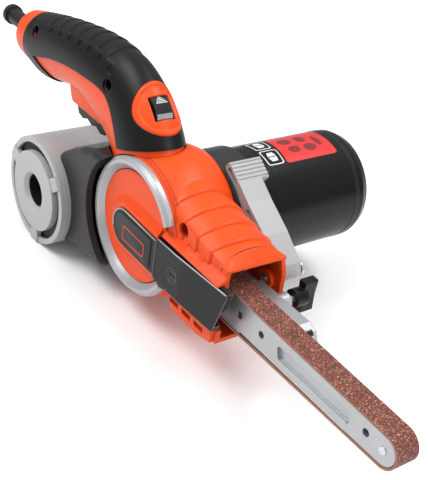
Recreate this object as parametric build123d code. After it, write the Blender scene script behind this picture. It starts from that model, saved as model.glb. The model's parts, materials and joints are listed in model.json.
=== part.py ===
from build123d import *
import math
import os

# Handheld powerfile (narrow belt sander). All dimensions are in millimetres.
# Design axes: +X points forward along the sanding arm, +Y to the motor side,
# +Z up. Sizes below are measured from the centre of the round housing, in the
# middle plane of the belt; the finished parts are then moved so that the origin
# is under the middle of the tool, at its lowest point.

# ---------------------------------------------------------------- belt drive
BELT_WIDTH = 13.0
BELT_LENGTH = 451.0
BELT_THICK = 1.2
PULLEY_X = -12.0
BELT_Z = -6.3
PULLEY_NEUTRAL = 11.4
TIP_NEUTRAL = 8.2
RUN_GAP = 0.3
SHAFT_R = 4.0
BEARING_FIT = 0.05

# ---------------------------------------------------------------- round housing
BALL_R = 42.0
BALL_RIGHT_Y = -15.0
BALL_LEFT_Y = 24.0
BALL_RIGHT_R = 37.5
BALL_LEFT_R = 37.0
WALL = 2.5
SPLIT_Y = 20.0
RING_OUT = 38.0
RING_IN = 31.0
RING_FACE_Y = -19.3
RING_HALF_GAP = 30.0
DOOR_R = 30.6

# ---------------------------------------------------------------- nose
NOSE_FRONT_X = 76.0
NOSE_REAR_X = 14.0
NOSE_RIGHT_Y = -13.4
NOSE_LEFT_Y = 25.3

# ---------------------------------------------------------------- motor
MOTOR_X = 5.0
MOTOR_Z = 2.5
CAN_R = 31.8
COLLAR_R = 33.8
COLLAR_END_Y = 42.0
CAN_END_Y = 111.0
CAP_END_Y = 122.0

# ---------------------------------------------------------------- handle
# Bezier poles of the grip's centre line in the XZ plane, neck first.
GRIP_POLES = [(-17.4, 30.6), (-27.9, 52.7), (-62.4, 65.9), (-109.1, 59.1), (-168.1, 45.5)]
GRIP_DEPTH = [(0.0, 24.4), (0.33, 27.6), (0.66, 17.9), (1.0, 11.5)]
GRIP_WIDTH = [(0.0, 18.5), (0.3, 17.0), (0.8, 16.0), (1.0, 13.0)]
GRIP_SKIN = 1.6
SHELL_WALL = 2.6
GRIP_END = 0.925
GRIP_DROP = [(0.0, 0.0), (0.52, 0.0), (0.64, 3.0), (0.74, 7.0), (0.82, 9.0), (0.89, 5.0), (1.0, 0.0)]
COLLAR_X = -139.5
HOOD_SIDE = [(-93, 50), (-87.5, 36), (-85.5, 33), (-52, 33), (-46, 44), (-50, 52)]
HOOD_HALF = 10.0
NECK_TAIL = 12.0
GRIP_STEPS = 12
GUARD_Z = 48.0
CORD_BORE_R = 3.4

# ---------------------------------------------------------------- dust canister
CAN_X = -86.0
CAN_Z = -21.9
CANISTER_R = 32.6
CANISTER_RIM_Y = -27.6
CANISTER_FACE_Y = -31.6
CANISTER_END_Y = 34.0
OUTLET_R = 9.8

# ---------------------------------------------------------------- lever and arm
LEVER_PIVOT = (66.5, -1.0)
LEVER_Y = (25.8, 41.0)
LEVER_PAD_Y = 46.0
LEVER_PIN_R = 2.5
KNOB_X = 83.0
KNOB_Z = -4.5
DUST_ARM_Y = (8.0, 17.0)
DUST_ARM_X = (68.0, 114.0)
DUST_ARM_Z = (-12.5, 0.0)

nodes = {}


# ---------------------------------------------------------------- shape helpers
def disc_y(x, z, radius, y0, y1):
    """Cylinder along Y."""
    plane = Plane(origin=(x, y0, z), x_dir=(1, 0, 0), z_dir=(0, 1, 0))
    return extrude(plane * Circle(radius), amount=y1 - y0)


def ring_y(x, z, outer, inner, y0, y1):
    """Tube along Y."""
    return disc_y(x, z, outer, y0, y1) - disc_y(x, z, inner, y0 - 1, y1 + 1)


def disc_x(y, z, radius, x0, x1):
    """Cylinder along X."""
    plane = Plane(origin=(x0, y, z), x_dir=(0, 1, 0), z_dir=(1, 0, 0))
    return extrude(plane * Circle(radius), amount=x1 - x0)


def block(x0, x1, y0, y1, z0, z1):
    """Box between two corners."""
    centre = ((x0 + x1) / 2, (y0 + y1) / 2, (z0 + z1) / 2)
    return Pos(*centre) * Box(x1 - x0, y1 - y0, z1 - z0)


def outline_face(points, radius=0.0):
    """Face in the XZ plane from a closed outline, its corners rounded."""
    wire = Wire.make_polygon([(x, 0, z) for x, z in points], close=True)
    face = Face(wire)
    if radius:
        face = face.fillet_2d(radius, face.vertices())
    return face


def prism_y(points, y0, y1, radius=0.0):
    """Prism along Y from an outline in the XZ plane."""
    face = outline_face(points, radius).moved(Location((0, y0, 0)))
    return extrude(face, amount=y1 - y0, dir=(0, 1, 0))


def spin_y(x, z, points):
    """Solid of revolution about a Y-parallel axis, from (radius, y) points."""
    face = Face(Wire.make_polygon([(r, y, 0) for r, y in points], close=True))
    return Pos(x, 0, z) * revolve(face, Axis.Y)


def largest(shape):
    """The biggest solid of a shape."""
    return max(shape.solids(), key=lambda solid: solid.volume)


# ---------------------------------------------------------------- belt loop
def centre_distance():
    """Distance of pulley and tip roller that the belt's length leaves."""
    distance = BELT_LENGTH / 2
    for _ in range(20):
        wrap = math.pi * (PULLEY_NEUTRAL + TIP_NEUTRAL)
        slack = (PULLEY_NEUTRAL - TIP_NEUTRAL) ** 2 / distance
        distance = (BELT_LENGTH - wrap - slack) / 2
    return distance


TIP_X = PULLEY_X + centre_distance()


def loop_prism(offset, y0, y1):
    """Prism of the belt loop, offset from the belt's neutral line."""
    rear = PULLEY_NEUTRAL + offset
    front = TIP_NEUTRAL + offset
    lean = (rear - front) / (TIP_X - PULLEY_X)
    up = math.sqrt(1 - lean ** 2)
    rear_top = (PULLEY_X + rear * lean, y0, BELT_Z + rear * up)
    rear_low = (PULLEY_X + rear * lean, y0, BELT_Z - rear * up)
    tip_top = (TIP_X + front * lean, y0, BELT_Z + front * up)
    tip_low = (TIP_X + front * lean, y0, BELT_Z - front * up)
    wire = Wire([
        Line(rear_top, tip_top),
        ThreePointArc(tip_top, (TIP_X + front, y0, BELT_Z), tip_low),
        Line(tip_low, rear_low),
        ThreePointArc(rear_low, (PULLEY_X - rear, y0, BELT_Z), rear_top),
    ])
    return extrude(Face(wire), amount=y1 - y0, dir=(0, 1, 0))


def make_belt():
    half = BELT_THICK / 2
    edge = BELT_WIDTH / 2
    return loop_prism(half, -edge, edge) - loop_prism(-half, -edge - 1, edge + 1)


# ---------------------------------------------------------------- housing shells
def ball_solid(inset, y0, y1):
    """Round body: a barrel about Y with a bulged side."""
    rise = BALL_R - inset
    start = (BALL_RIGHT_R - inset, y0, 0)
    end = (BALL_LEFT_R - inset, y1, 0)
    wire = Wire([
        Line((0, y0, 0), start),
        ThreePointArc(start, (rise, 4, 0), end),
        Line(end, (0, y1, 0)),
        Line((0, y1, 0), (0, y0, 0)),
    ])
    return revolve(Face(wire), Axis.Y)


def nose_section(x, crown, shoulder, inset):
    """Cross-section of the nose: flat sides, an arched top, a slanted keel."""
    right = NOSE_RIGHT_Y + inset
    left = NOSE_LEFT_Y - inset
    keel = -25.0 + inset
    points = {
        "low_right": (x, right, keel),
        "top_right": (x, right, shoulder - inset),
        "crown": (x, 9.0, crown - inset),
        "top_left": (x, left - 3.5, shoulder - 2.0 - inset),
        "side_left": (x, left, 5.0),
        "low_left": (x, left, -9.0 + inset / 2),
        "keel_left": (x, 13.0 - inset, keel),
    }
    wire = Wire([
        Line(points["low_right"], points["top_right"]),
        ThreePointArc(points["top_right"], points["crown"], points["top_left"]),
        Line(points["top_left"], points["side_left"]),
        Line(points["side_left"], points["low_left"]),
        Line(points["low_left"], points["keel_left"]),
        Line(points["keel_left"], points["low_right"]),
    ])
    return Face(wire)


def nose_solid(inset, x0, x1):
    """Nose between two X planes; its crown falls towards the front."""
    rear_crown, front_crown = 36.0, 22.5
    rear_shoulder, front_shoulder = 27.0, 19.0
    span = NOSE_FRONT_X - NOSE_REAR_X
    sections = []
    for x in (x0, x1):
        share = (x - NOSE_REAR_X) / span
        crown = rear_crown + share * (front_crown - rear_crown)
        shoulder = rear_shoulder + share * (front_shoulder - rear_shoulder)
        sections.append(nose_section(x, crown, shoulder, inset))
    return loft(sections, ruled=True)


SCREW_ANGLES = (50, 215, 300)
SCREW_CIRCLE = 33.2
BOSS_R = 3.8
NOSE_SCREW = (38.0, 19.0)


def screw_places():
    places = []
    for angle in SCREW_ANGLES:
        turn = math.radians(angle)
        places.append((SCREW_CIRCLE * math.cos(turn), SCREW_CIRCLE * math.sin(turn), -13.0))
    places.append((NOSE_SCREW[0], NOSE_SCREW[1], 3.0))
    return places


def screw(x, z, head_y, length, head_r=3.0, shank_r=1.7):
    """Pan-head screw along +Y with a cross socket."""
    body = disc_y(x, z, head_r, head_y, head_y + 2.0)
    body += disc_y(x, z, shank_r, head_y + 2.0, head_y + length)
    for dx, dz in ((2.0, 0.35), (0.35, 2.0)):
        body -= block(x - dx, x + dx, head_y - 0.1, head_y + 1.1, z - dz, z + dz)
    return body


DOOR_POST = (42.0, -4.0)
DUCT_PORT = (2.0, -10.0)
DUCT_PORT_R = 8.0


def make_housings(handle_plug):
    """Right and left orange shells, split at SPLIT_Y."""
    outer = ball_solid(0, BALL_RIGHT_Y, BALL_LEFT_Y)
    outer += nose_solid(0, NOSE_REAR_X, NOSE_FRONT_X)
    inner = ball_solid(WALL, BALL_RIGHT_Y + 2.0, BALL_LEFT_Y - WALL)
    inner += nose_solid(WALL, NOSE_REAR_X - 4, NOSE_FRONT_X + 4)
    shell = outer - inner
    # belt side: round door opening, and the open side of the nose
    shell -= disc_y(0, 0, RING_IN, BALL_RIGHT_Y - 1, BALL_RIGHT_Y + 3)
    shell -= block(20, NOSE_FRONT_X + 1, -16, -9, -17.5, 8.0)
    # dust port to the duct, at the back
    shell -= disc_x(DUCT_PORT[0], DUCT_PORT[1], DUCT_PORT_R, -50, -20)
    # brow of the front opening leans back
    shell -= prism_y([(76, 8), (70.6, 23), (70.6, 40), (90, 40), (90, 8)], -20, 40)
    # vent skirt under the belt cover, with three slots
    skirt = prism_y([(34.5, -18), (74, -18), (74, -25), (62, -27.5), (40, -27.5)], -15.4, -9)
    shell += skirt - nose_solid(WALL, NOSE_REAR_X - 4, NOSE_FRONT_X + 4)
    for start in (37, 48, 59):
        shell -= prism_y([(start, -21), (start + 8, -21), (start + 9, -24), (start + 1, -24)],
                         -16, -9)
    # bosses for the screws that hold the shells together
    for x, z, head_y in screw_places():
        shell += disc_y(x, z, BOSS_R, head_y, BALL_LEFT_Y - WALL + 0.5)
        shell -= disc_y(x, z, 3.3, -20, head_y + 2.0)
        shell -= disc_y(x, z, 1.7, head_y, BALL_LEFT_Y - 0.8)
    recess_x, recess_z = NOSE_SCREW
    shell -= disc_y(recess_x, recess_z, 4.3, -20, 3.0)
    # motor side: round opening for the gear housing
    shell -= disc_y(MOTOR_X, MOTOR_Z, 27.0, BALL_LEFT_Y - 4, BALL_LEFT_Y + 2)
    shell -= disc_y(MOTOR_X, MOTOR_Z, COLLAR_R, BALL_LEFT_Y, BALL_LEFT_Y + 10)
    # lug for the lever's pivot pin
    pivot_x, pivot_z = LEVER_PIVOT
    shell += disc_y(pivot_x, pivot_z, 5.5, 19.0, NOSE_LEFT_Y)
    shell -= disc_y(pivot_x, pivot_z, LEVER_PIN_R, 18, 30)
    shell -= handle_plug
    right = largest(shell & block(-60, 100, -40, SPLIT_Y, -60, 80))
    left = largest(shell & block(-60, 100, SPLIT_Y, 40, -60, 80))
    return right, left


def make_ring_trim():
    """Silver C-shaped trim round the door, open towards the nose."""
    profile = [(RING_IN + 1.6, RING_FACE_Y + 1.6), (RING_IN + 3.2, RING_FACE_Y),
               (RING_OUT - 1.8, RING_FACE_Y), (RING_OUT, RING_FACE_Y + 1.8),
               (RING_OUT, BALL_RIGHT_Y), (RING_IN, BALL_RIGHT_Y), (RING_IN, RING_FACE_Y + 3.4)]
    trim = spin_y(0, 0, profile)
    gap = math.tan(math.radians(RING_HALF_GAP)) * 60
    return trim - prism_y([(0, 0), (60, gap), (60, -gap)], -30, 0)


# ---------------------------------------------------------------- belt door
COVER_REAR = (-4.5, -2.5)
COVER_REAR_R = 10.5
COVER_JOG_X = 26.0
COVER_FACE_Y = -20.3
COVER_SCREW = (42.0, -4.0)


def cover_outline(grow):
    """Side outline of the black belt cover, grown by a margin."""
    cx, cz = COVER_REAR
    radius = COVER_REAR_R + grow
    jog = COVER_JOG_X
    top, low = (cx, 0, cz + radius), (cx, 0, cz - radius)
    jog_top, jog_low = (jog, 0, 7.4 + grow), (jog, 0, -13.2 - grow)
    wire = Wire([
        ThreePointArc(low, (cx - radius, 0, cz), top),
        Line(top, jog_top),
        Line(jog_top, jog_low),
        Line(jog_low, low),
    ])
    return Face(wire)


def make_belt_cover():
    """Black cover: a rounded rear plate that steps into a deeper front box."""
    rear = extrude(cover_outline(0).moved(Location((0, COVER_FACE_Y, 0))), amount=4.9, dir=(0, 1, 0))
    front_points = [(COVER_JOG_X, 9.2), (84, 10.2), (77, -15.5), (COVER_JOG_X, -15.2)]
    front = prism_y(front_points, COVER_FACE_Y + 0.4, -15.4, 1.2)
    front += prism_y([(43, 9.0), (83.7, 10.0), (77, -15.3), (43, -15.1)], -15.6, -13.8, 1.0)
    cover = rear + front
    # the face runs in towards the belt at the front
    cover -= prism_y([(0, -30), (90, -30), (90, 30), (0, 30)], -30, -20.3)
    wedge = Wire.make_polygon([(44, -22, 0), (90, -22, 0), (90, -17.2, 0), (44, -20.2, 0)], close=True)
    cover -= extrude(Face(wedge), amount=40, dir=(0, 0, 1), both=True)
    cover -= block(46, 80.5, -17.4, -13.7, -12.5, 7.0)
    x, z = COVER_SCREW
    cover -= disc_y(x, z, 3.9, -22, -17.0)
    cover -= disc_y(x, z, 2.3, -22, -10)
    return cover


def make_door_panel():
    """Orange disc that carries the belt cover, with a raised surround."""
    panel = disc_y(0, 0, DOOR_R, -16.4, -14.5)
    base = cover_outline(7.0).moved(Location((0, -16.4, 0)))
    crest = cover_outline(2.6).moved(Location((0, -19.4, 0)))
    surround = loft([base, crest], ruled=True)
    surround = surround & disc_y(0, 0, DOOR_R, -22, -10)
    panel += surround
    pocket = cover_outline(0).moved(Location((0, -30, 0)))
    panel -= extrude(pocket, amount=30 - 15.4, dir=(0, 1, 0))
    return panel - block(COVER_JOG_X, 40, -22, -15.4, -15.2, 9.2)


def make_cover_screw():
    x, z = COVER_SCREW
    body = disc_y(x, z, 3.6, -19.6, -17.3) + disc_y(x, z, 2.0, -17.3, -9.2)
    return body - block(x - 3.0, x + 3.0, -19.7, -18.5, z - 0.6, z + 0.6)


def make_door_post():
    """Steel post through the belt loop that takes the cover screw."""
    x, z = DOOR_POST
    return disc_y(x, z, 4.0, -8.8, SPLIT_Y + 1.0)


# ---------------------------------------------------------------- sanding arm
ARM_HALF = 6.2
ARM_REAR_X = 52.0


def make_sanding_arm():
    """Cast bar inside the belt loop, forked round the tip roller."""
    arm = loop_prism(-BELT_THICK / 2 - 0.4, -ARM_HALF, ARM_HALF)
    arm &= block(ARM_REAR_X, 220, -10, 10, -40, 40)
    arm -= block(TIP_X - 9.5, TIP_X + 20, -4.8, 4.8, -30, 30)
    arm -= disc_y(TIP_X, BELT_Z, 2.0, -8, 8)
    for side in (-1, 1):
        y0, y1 = sorted((side * 4.4, side * 7))
        arm -= prism_y([(110, -2.6), (160, -3.0), (163, -9.6), (113, -9.9)], y0, y1, 2.0)
    for x in (82.0, 99.0, 172.0):
        arm -= disc_y(x, BELT_Z + 1.0, 2.0, -8, 8)
    # seat for the platen on the working side
    arm -= block(84, 160, -6.5, 6.5, -16, -13.4)
    # tail that crosses to the guide on the motor side
    arm += block(52, 64, 5, 18, -10, -3) + block(52, 64, 8, 14.6, -15, -3)
    return arm


def make_platen():
    plate = block(84, 160, -ARM_HALF, ARM_HALF, -13.9, -13.4)
    return plate & loop_prism(-BELT_THICK / 2 - 0.35, -7, 7)


def make_tip_roller():
    edge, middle = 7.1, 7.3
    points = [(2.05, -4.5), (edge, -4.5), (middle, -1.5), (middle, 1.5), (edge, 4.5), (2.05, 4.5)]
    return spin_y(TIP_X, BELT_Z, points)


def make_tip_axle():
    return disc_y(TIP_X, BELT_Z, 2.0, -ARM_HALF - 0.3, ARM_HALF + 0.3)


def make_tension_spring():
    """Compression spring behind the arm's tail, drawn at its working length."""
    return disc_x(11.4, -11.8, 3.0, 35.0, 52.0) - disc_x(11.4, -11.8, 2.0, 34, 53)


# ---------------------------------------------------------------- pulley drive
PINION_TEETH = 15
GEAR_TEETH = 23
GEAR_Y = (32.0, 38.0)


def gear_profile(teeth, module, phase):
    """Outline of a spur gear with straight-flanked teeth."""
    pitch_r = teeth * module / 2
    root, tip = pitch_r - 1.15 * module, pitch_r + 0.8 * module
    step = 2 * math.pi / teeth
    points = []
    for tooth in range(teeth):
        centre = phase + tooth * step
        for share, radius in ((-0.30, root), (-0.11, tip), (0.11, tip), (0.30, root)):
            angle = centre + share * step
            points.append((radius * math.cos(angle), radius * math.sin(angle)))
    return points


GEAR_DISTANCE = math.hypot(MOTOR_X - PULLEY_X, MOTOR_Z - BELT_Z)
GEAR_LINE = math.atan2(MOTOR_Z - BELT_Z, MOTOR_X - PULLEY_X)
GEAR_MODULE = 2 * GEAR_DISTANCE / (PINION_TEETH + GEAR_TEETH)


def make_gear(x, z, teeth, phase, bore):
    points = [(x + px, z + pz) for px, pz in gear_profile(teeth, GEAR_MODULE, phase)]
    return prism_y(points, *GEAR_Y) - disc_y(x, z, bore, GEAR_Y[0] - 1, GEAR_Y[1] + 1)


def make_drive_pulley():
    radius = PULLEY_NEUTRAL - BELT_THICK / 2 - RUN_GAP
    points = [(SHAFT_R, -6.5), (radius - 0.3, -6.5), (radius, -3), (radius, 3),
              (radius - 0.3, 6.5), (SHAFT_R, 6.5)]
    return spin_y(PULLEY_X, BELT_Z, points)


def make_drive_shaft():
    shaft = disc_y(PULLEY_X, BELT_Z, SHAFT_R, -6.5, 46.5)
    return shaft + disc_y(PULLEY_X, BELT_Z, 2.6, -9.0, -6.5)


def make_pulley_nut():
    nut = extrude(Plane(origin=(PULLEY_X, -9.0, BELT_Z), x_dir=(1, 0, 0), z_dir=(0, 1, 0))
                  * RegularPolygon(4.6, 6), amount=2.5)
    return nut - disc_y(PULLEY_X, BELT_Z, 2.6, -10, -6)


DRIVE_BEARING_R = 7.4
MOTOR_BEARING_R = 9.0


def make_bearing(x, z, y0, y1, outer):
    """Sealed ball bearing, its rings and seals as one ring."""
    return ring_y(x, z, outer, SHAFT_R + BEARING_FIT, y0, y1)


# ---------------------------------------------------------------- gear housing and motor
def make_gear_housing(lever_clearance):
    """Dark collar between the round housing and the motor."""
    body = disc_y(MOTOR_X, MOTOR_Z, COLLAR_R, BALL_LEFT_Y, COLLAR_END_Y)
    body -= disc_y(MOTOR_X, MOTOR_Z, COLLAR_R - 3.0, BALL_LEFT_Y + 6.0, COLLAR_END_Y + 1)
    body += disc_y(MOTOR_X, MOTOR_Z, 26.2, BALL_LEFT_Y - 2.5, BALL_LEFT_Y + 1)
    body -= disc_y(PULLEY_X, BELT_Z, DRIVE_BEARING_R, 20, 28)
    body -= disc_y(PULLEY_X, BELT_Z, 6.0, 20, 31)
    body -= disc_y(MOTOR_X, MOTOR_Z, 6.0, 23, 31)
    body -= disc_y(PULLEY_X, BELT_Z, 13.0, GEAR_Y[0] - 1, COLLAR_END_Y + 1)
    return body - lever_clearance


def make_motor_housing():
    """Black motor can with a thick front plate."""
    can = disc_y(MOTOR_X, MOTOR_Z, CAN_R, COLLAR_END_Y, CAN_END_Y)
    can -= disc_y(MOTOR_X, MOTOR_Z, CAN_R - WALL, COLLAR_END_Y + 6, CAN_END_Y + 1)
    can -= disc_y(MOTOR_X, MOTOR_Z, MOTOR_BEARING_R, COLLAR_END_Y - 1, COLLAR_END_Y + 5)
    can -= disc_y(MOTOR_X, MOTOR_Z, 6.0, COLLAR_END_Y - 1, COLLAR_END_Y + 7)
    can -= disc_y(PULLEY_X, BELT_Z, DRIVE_BEARING_R, COLLAR_END_Y - 1, COLLAR_END_Y + 5)
    return can


def make_motor_end_cap():
    """Domed rear cap with a ring of cooling slots and the rear bearing seat."""
    radius = CAN_R
    points = [(0, CAN_END_Y), (radius, CAN_END_Y), (radius, CAN_END_Y + 3.5),
              (radius - 2.0, CAN_END_Y + 8.0), (radius - 6.5, CAP_END_Y), (0, CAP_END_Y)]
    cap = spin_y(MOTOR_X, MOTOR_Z, points)
    hollow = [(11.5, CAN_END_Y - 1), (radius - 2.6, CAN_END_Y - 1), (radius - 2.6, CAN_END_Y + 3),
              (radius - 8, CAP_END_Y - 2.5), (11.5, CAP_END_Y - 2.5)]
    cap -= spin_y(MOTOR_X, MOTOR_Z, hollow)
    cap -= disc_y(MOTOR_X, MOTOR_Z, MOTOR_BEARING_R, CAN_END_Y - 1, CAN_END_Y + 7)
    for step in range(10):
        slot = block(14.5, 23.5, CAP_END_Y - 4, CAP_END_Y + 1, -1.1, 1.1)
        cap -= Pos(MOTOR_X, 0, MOTOR_Z) * (Rot(0, step * 36, 0) * slot)
    return cap


MOTOR_STACK_Y = (60.0, 88.0)


def make_armature_shaft():
    return disc_y(MOTOR_X, MOTOR_Z, SHAFT_R, 31.0, 116.5)


def make_armature_core():
    core = ring_y(MOTOR_X, MOTOR_Z, 17.5, SHAFT_R, *MOTOR_STACK_Y)
    for step in range(12):
        slot = block(12.5, 18.5, 59, 89, -0.8, 0.8)
        core -= Pos(MOTOR_X, 0, MOTOR_Z) * (Rot(0, step * 30, 0) * slot)
    return core


def make_armature_winding():
    front = ring_y(MOTOR_X, MOTOR_Z, 15.0, SHAFT_R, MOTOR_STACK_Y[0] - 5, MOTOR_STACK_Y[0])
    rear = ring_y(MOTOR_X, MOTOR_Z, 15.0, SHAFT_R, MOTOR_STACK_Y[1], MOTOR_STACK_Y[1] + 4)
    return Compound([largest(front), largest(rear)])


def make_commutator():
    return ring_y(MOTOR_X, MOTOR_Z, 10.0, SHAFT_R, 93.0, 105.0)


def make_fan():
    fan = ring_y(MOTOR_X, MOTOR_Z, 27.0, SHAFT_R, 49.0, 50.5)
    fan += ring_y(MOTOR_X, MOTOR_Z, 7.5, SHAFT_R, 49.0, 54.5)
    for step in range(9):
        blade = block(9.0, 26.5, 50.0, 54.5, -0.6, 0.6)
        fan += Pos(MOTOR_X, 0, MOTOR_Z) * (Rot(0, step * 40, 0) * blade)
    return fan


def make_stator():
    stator = ring_y(MOTOR_X, MOTOR_Z, CAN_R - WALL, 18.1, *MOTOR_STACK_Y)
    for side in (-1, 1):
        z0, z1 = sorted((MOTOR_Z + side * 26.0, MOTOR_Z + side * 40.0))
        stator -= block(MOTOR_X - 40, MOTOR_X + 40, 50, 100, z0, z1)
    return stator


def make_field_coils():
    coils = []
    for side in (-1, 1):
        ring = ring_y(MOTOR_X, MOTOR_Z, 26.5, 19.0, MOTOR_STACK_Y[1], MOTOR_STACK_Y[1] + 4)
        x0, x1 = sorted((MOTOR_X + side * 8, MOTOR_X + side * 30))
        coils.append(largest(ring & block(x0, x1, 80, 100, MOTOR_Z - 30, MOTOR_Z + 30)))
    return Compound(coils)


def make_brush(side):
    x0, x1 = sorted((MOTOR_X + side * 10.4, MOTOR_X + side * 19.0))
    return block(x0, x1, 96.5, 101.5, MOTOR_Z - 3, MOTOR_Z + 3)


def make_brush_holder(side):
    x0, x1 = sorted((MOTOR_X + side * 12.5, MOTOR_X + side * 28.7))
    holder = block(x0, x1, 94.5, 103.5, MOTOR_Z - 5, MOTOR_Z + 5)
    hole_x = sorted((MOTOR_X + side * 12.0, MOTOR_X + side * 25.0))
    return holder - block(hole_x[0], hole_x[1], 96.5, 101.5, MOTOR_Z - 3, MOTOR_Z + 3)


def make_rating_plate():
    """Thin curved label on the upper front of the motor can."""
    label = ring_y(MOTOR_X, MOTOR_Z, CAN_R + 0.4, CAN_R, 54.0, 105.0)
    wedge = [(MOTOR_X, MOTOR_Z), (MOTOR_X - 21.0, MOTOR_Z + 60), (MOTOR_X + 27.0, MOTOR_Z + 60)]
    return largest(label & prism_y(wedge, 40, 110))


# ---------------------------------------------------------------- tension lever
LEVER_OUTLINE = [(18.1, 39.9), (28.5, 32.8), (38, 26), (55, 15.5), (68.5, 4.6), (71.4, -1.5), (67.5, -6.2),
                 (61.5, -3.5), (52, 9), (35, 20), (25.5, 27.9), (15.2, 34.9)]
LEVER_PAD_OUTLINE = [(18.1, 39.9), (28.5, 32.8), (25.5, 27.9), (15.2, 34.9)]


def make_tension_lever():
    """Cast lever with a ribbed thumb pad and a hollow back."""
    lever = prism_y(LEVER_OUTLINE, *LEVER_Y, 1.4)
    lever += prism_y(LEVER_PAD_OUTLINE, LEVER_Y[0], LEVER_PAD_Y, 1.2)
    lever -= prism_y([(38, 22.2), (53, 11.8), (56, 4), (48, 8), (34, 18)], LEVER_Y[0] + 2.2,
                     LEVER_Y[1] - 2.2)
    for x, z in ((22.4, 33.6), (42.0, 19.3)):
        slot = Pos(x, 0, z) * (Rot(0, 36, 0) * Box(9.0, 6.0, 2.4))
        lever -= slot.moved(Location((0, LEVER_Y[0], 0)))
    ridge = (math.cos(math.radians(-34.2)), math.sin(math.radians(-34.2)))
    for step in range(5):
        along = 2.0 + step * 2.3
        x, z = 18.1 + ridge[0] * along, 39.9 + ridge[1] * along
        groove = Pos(x, 36, z) * (Rot(0, 34.2, 0) * Box(0.9, 30, 0.9))
        lever -= groove
    x, z = LEVER_PIVOT
    return lever - disc_y(x, z, LEVER_PIN_R + BEARING_FIT, 20, 50)


def make_lever_clearance():
    face = offset(outline_face(LEVER_OUTLINE), amount=0.8)
    return extrude(face.face().moved(Location((0, BALL_LEFT_Y + 1.2, 0))), amount=30, dir=(0, 1, 0))


def make_lever_pin():
    x, z = LEVER_PIVOT
    return disc_y(x, z, LEVER_PIN_R, 19.0, 42.0) + disc_y(x, z, 4.2, 42.0, 43.4)


# ---------------------------------------------------------------- dust arm and knob
def make_dust_arm():
    """Suction channel beside the belt, open towards it, with a rounded end."""
    x0, x1 = DUST_ARM_X
    z0, z1 = DUST_ARM_Z
    outline = [(x0, z0), (x1, z0), (x1, z1 - 7), (x1 - 3, z1 - 2), (x1 - 8, z1), (x0, z1)]
    arm = prism_y(outline, *DUST_ARM_Y)
    arm -= block(x0 - 1, x1 - 2.0, DUST_ARM_Y[0] - 1, DUST_ARM_Y[1] - 1.6, z0 + 1.6, z1 - 1.6)
    # boss for the wing knob's stud
    arm += disc_y(KNOB_X, KNOB_Z, 4.6, DUST_ARM_Y[1] - 1.6, 22.0)
    return arm - disc_y(KNOB_X, KNOB_Z, 2.05, 10, 30)


def make_knob_stud():
    return disc_y(KNOB_X, KNOB_Z, 2.0, 16.0, 32.0)


def make_wing_knob():
    hub = disc_y(KNOB_X, KNOB_Z, 5.0, 26.0, 33.0)
    wing = [(-2.6, -9.3), (2.6, -9.3), (2.0, 0), (2.6, 9.3), (-2.6, 9.3), (-2.0, 0)]
    wing = prism_y([(KNOB_X + x, KNOB_Z + z) for x, z in wing], 31.0, 39.0, 0.9)
    return hub + wing - disc_y(KNOB_X, KNOB_Z, 2.0, 20, 32)


# ---------------------------------------------------------------- dust canister
def make_canister_shell():
    shell = disc_y(CAN_X, CAN_Z, CANISTER_R, CANISTER_RIM_Y, CANISTER_END_Y)
    shell -= disc_y(CAN_X, CAN_Z, CANISTER_R - 2.0, CANISTER_RIM_Y - 1, CANISTER_END_Y - 2)
    shell -= disc_x(DUCT_PORT[0], DUCT_PORT[1], DUCT_PORT_R, CAN_X, -40)
    rear = shell.edges().filter_by(GeomType.CIRCLE).group_by(Axis.Y)[-1]
    return fillet(rear, 1.8)


def make_canister_cap():
    """End cap: a proud disc with the outlet, on three spokes in an open rim."""
    rim_back = CANISTER_RIM_Y - 2.4
    cap = ring_y(CAN_X, CAN_Z, CANISTER_R, CANISTER_R - 3.4, rim_back, CANISTER_RIM_Y)
    cap += disc_y(CAN_X, CAN_Z, 24.2, CANISTER_FACE_Y, CANISTER_RIM_Y)
    for angle in (35, 155, 275):
        spoke = block(22, CANISTER_R - 0.5, CANISTER_FACE_Y + 0.6, CANISTER_RIM_Y, -4, 4)
        cap += Pos(CAN_X, 0, CAN_Z) * (Rot(0, -angle, 0) * spoke)
    cap += disc_y(CAN_X, CAN_Z, OUTLET_R + 2.0, CANISTER_FACE_Y, -6.0)
    cap -= disc_y(CAN_X, CAN_Z, OUTLET_R, CANISTER_FACE_Y - 1, 0)
    mouth = [(0, CANISTER_FACE_Y - 0.1), (OUTLET_R + 2.0, CANISTER_FACE_Y - 0.1),
             (OUTLET_R, CANISTER_FACE_Y + 2.2), (0, CANISTER_FACE_Y + 2.2)]
    return cap - spin_y(CAN_X, CAN_Z, mouth)


def make_canister_filter():
    """Dark pleated ring seen through the gaps of the end cap."""
    return ring_y(CAN_X, CAN_Z, CANISTER_R - 2.2, OUTLET_R + 2.2, -26.0, -19.0)


def make_cyclone_cone():
    outer = [(14, -18), (29, -18), (12, 26), (10, 26), (10, 24), (13, 24), (26, -16), (14, -16)]
    return spin_y(CAN_X, CAN_Z, outer)


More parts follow.
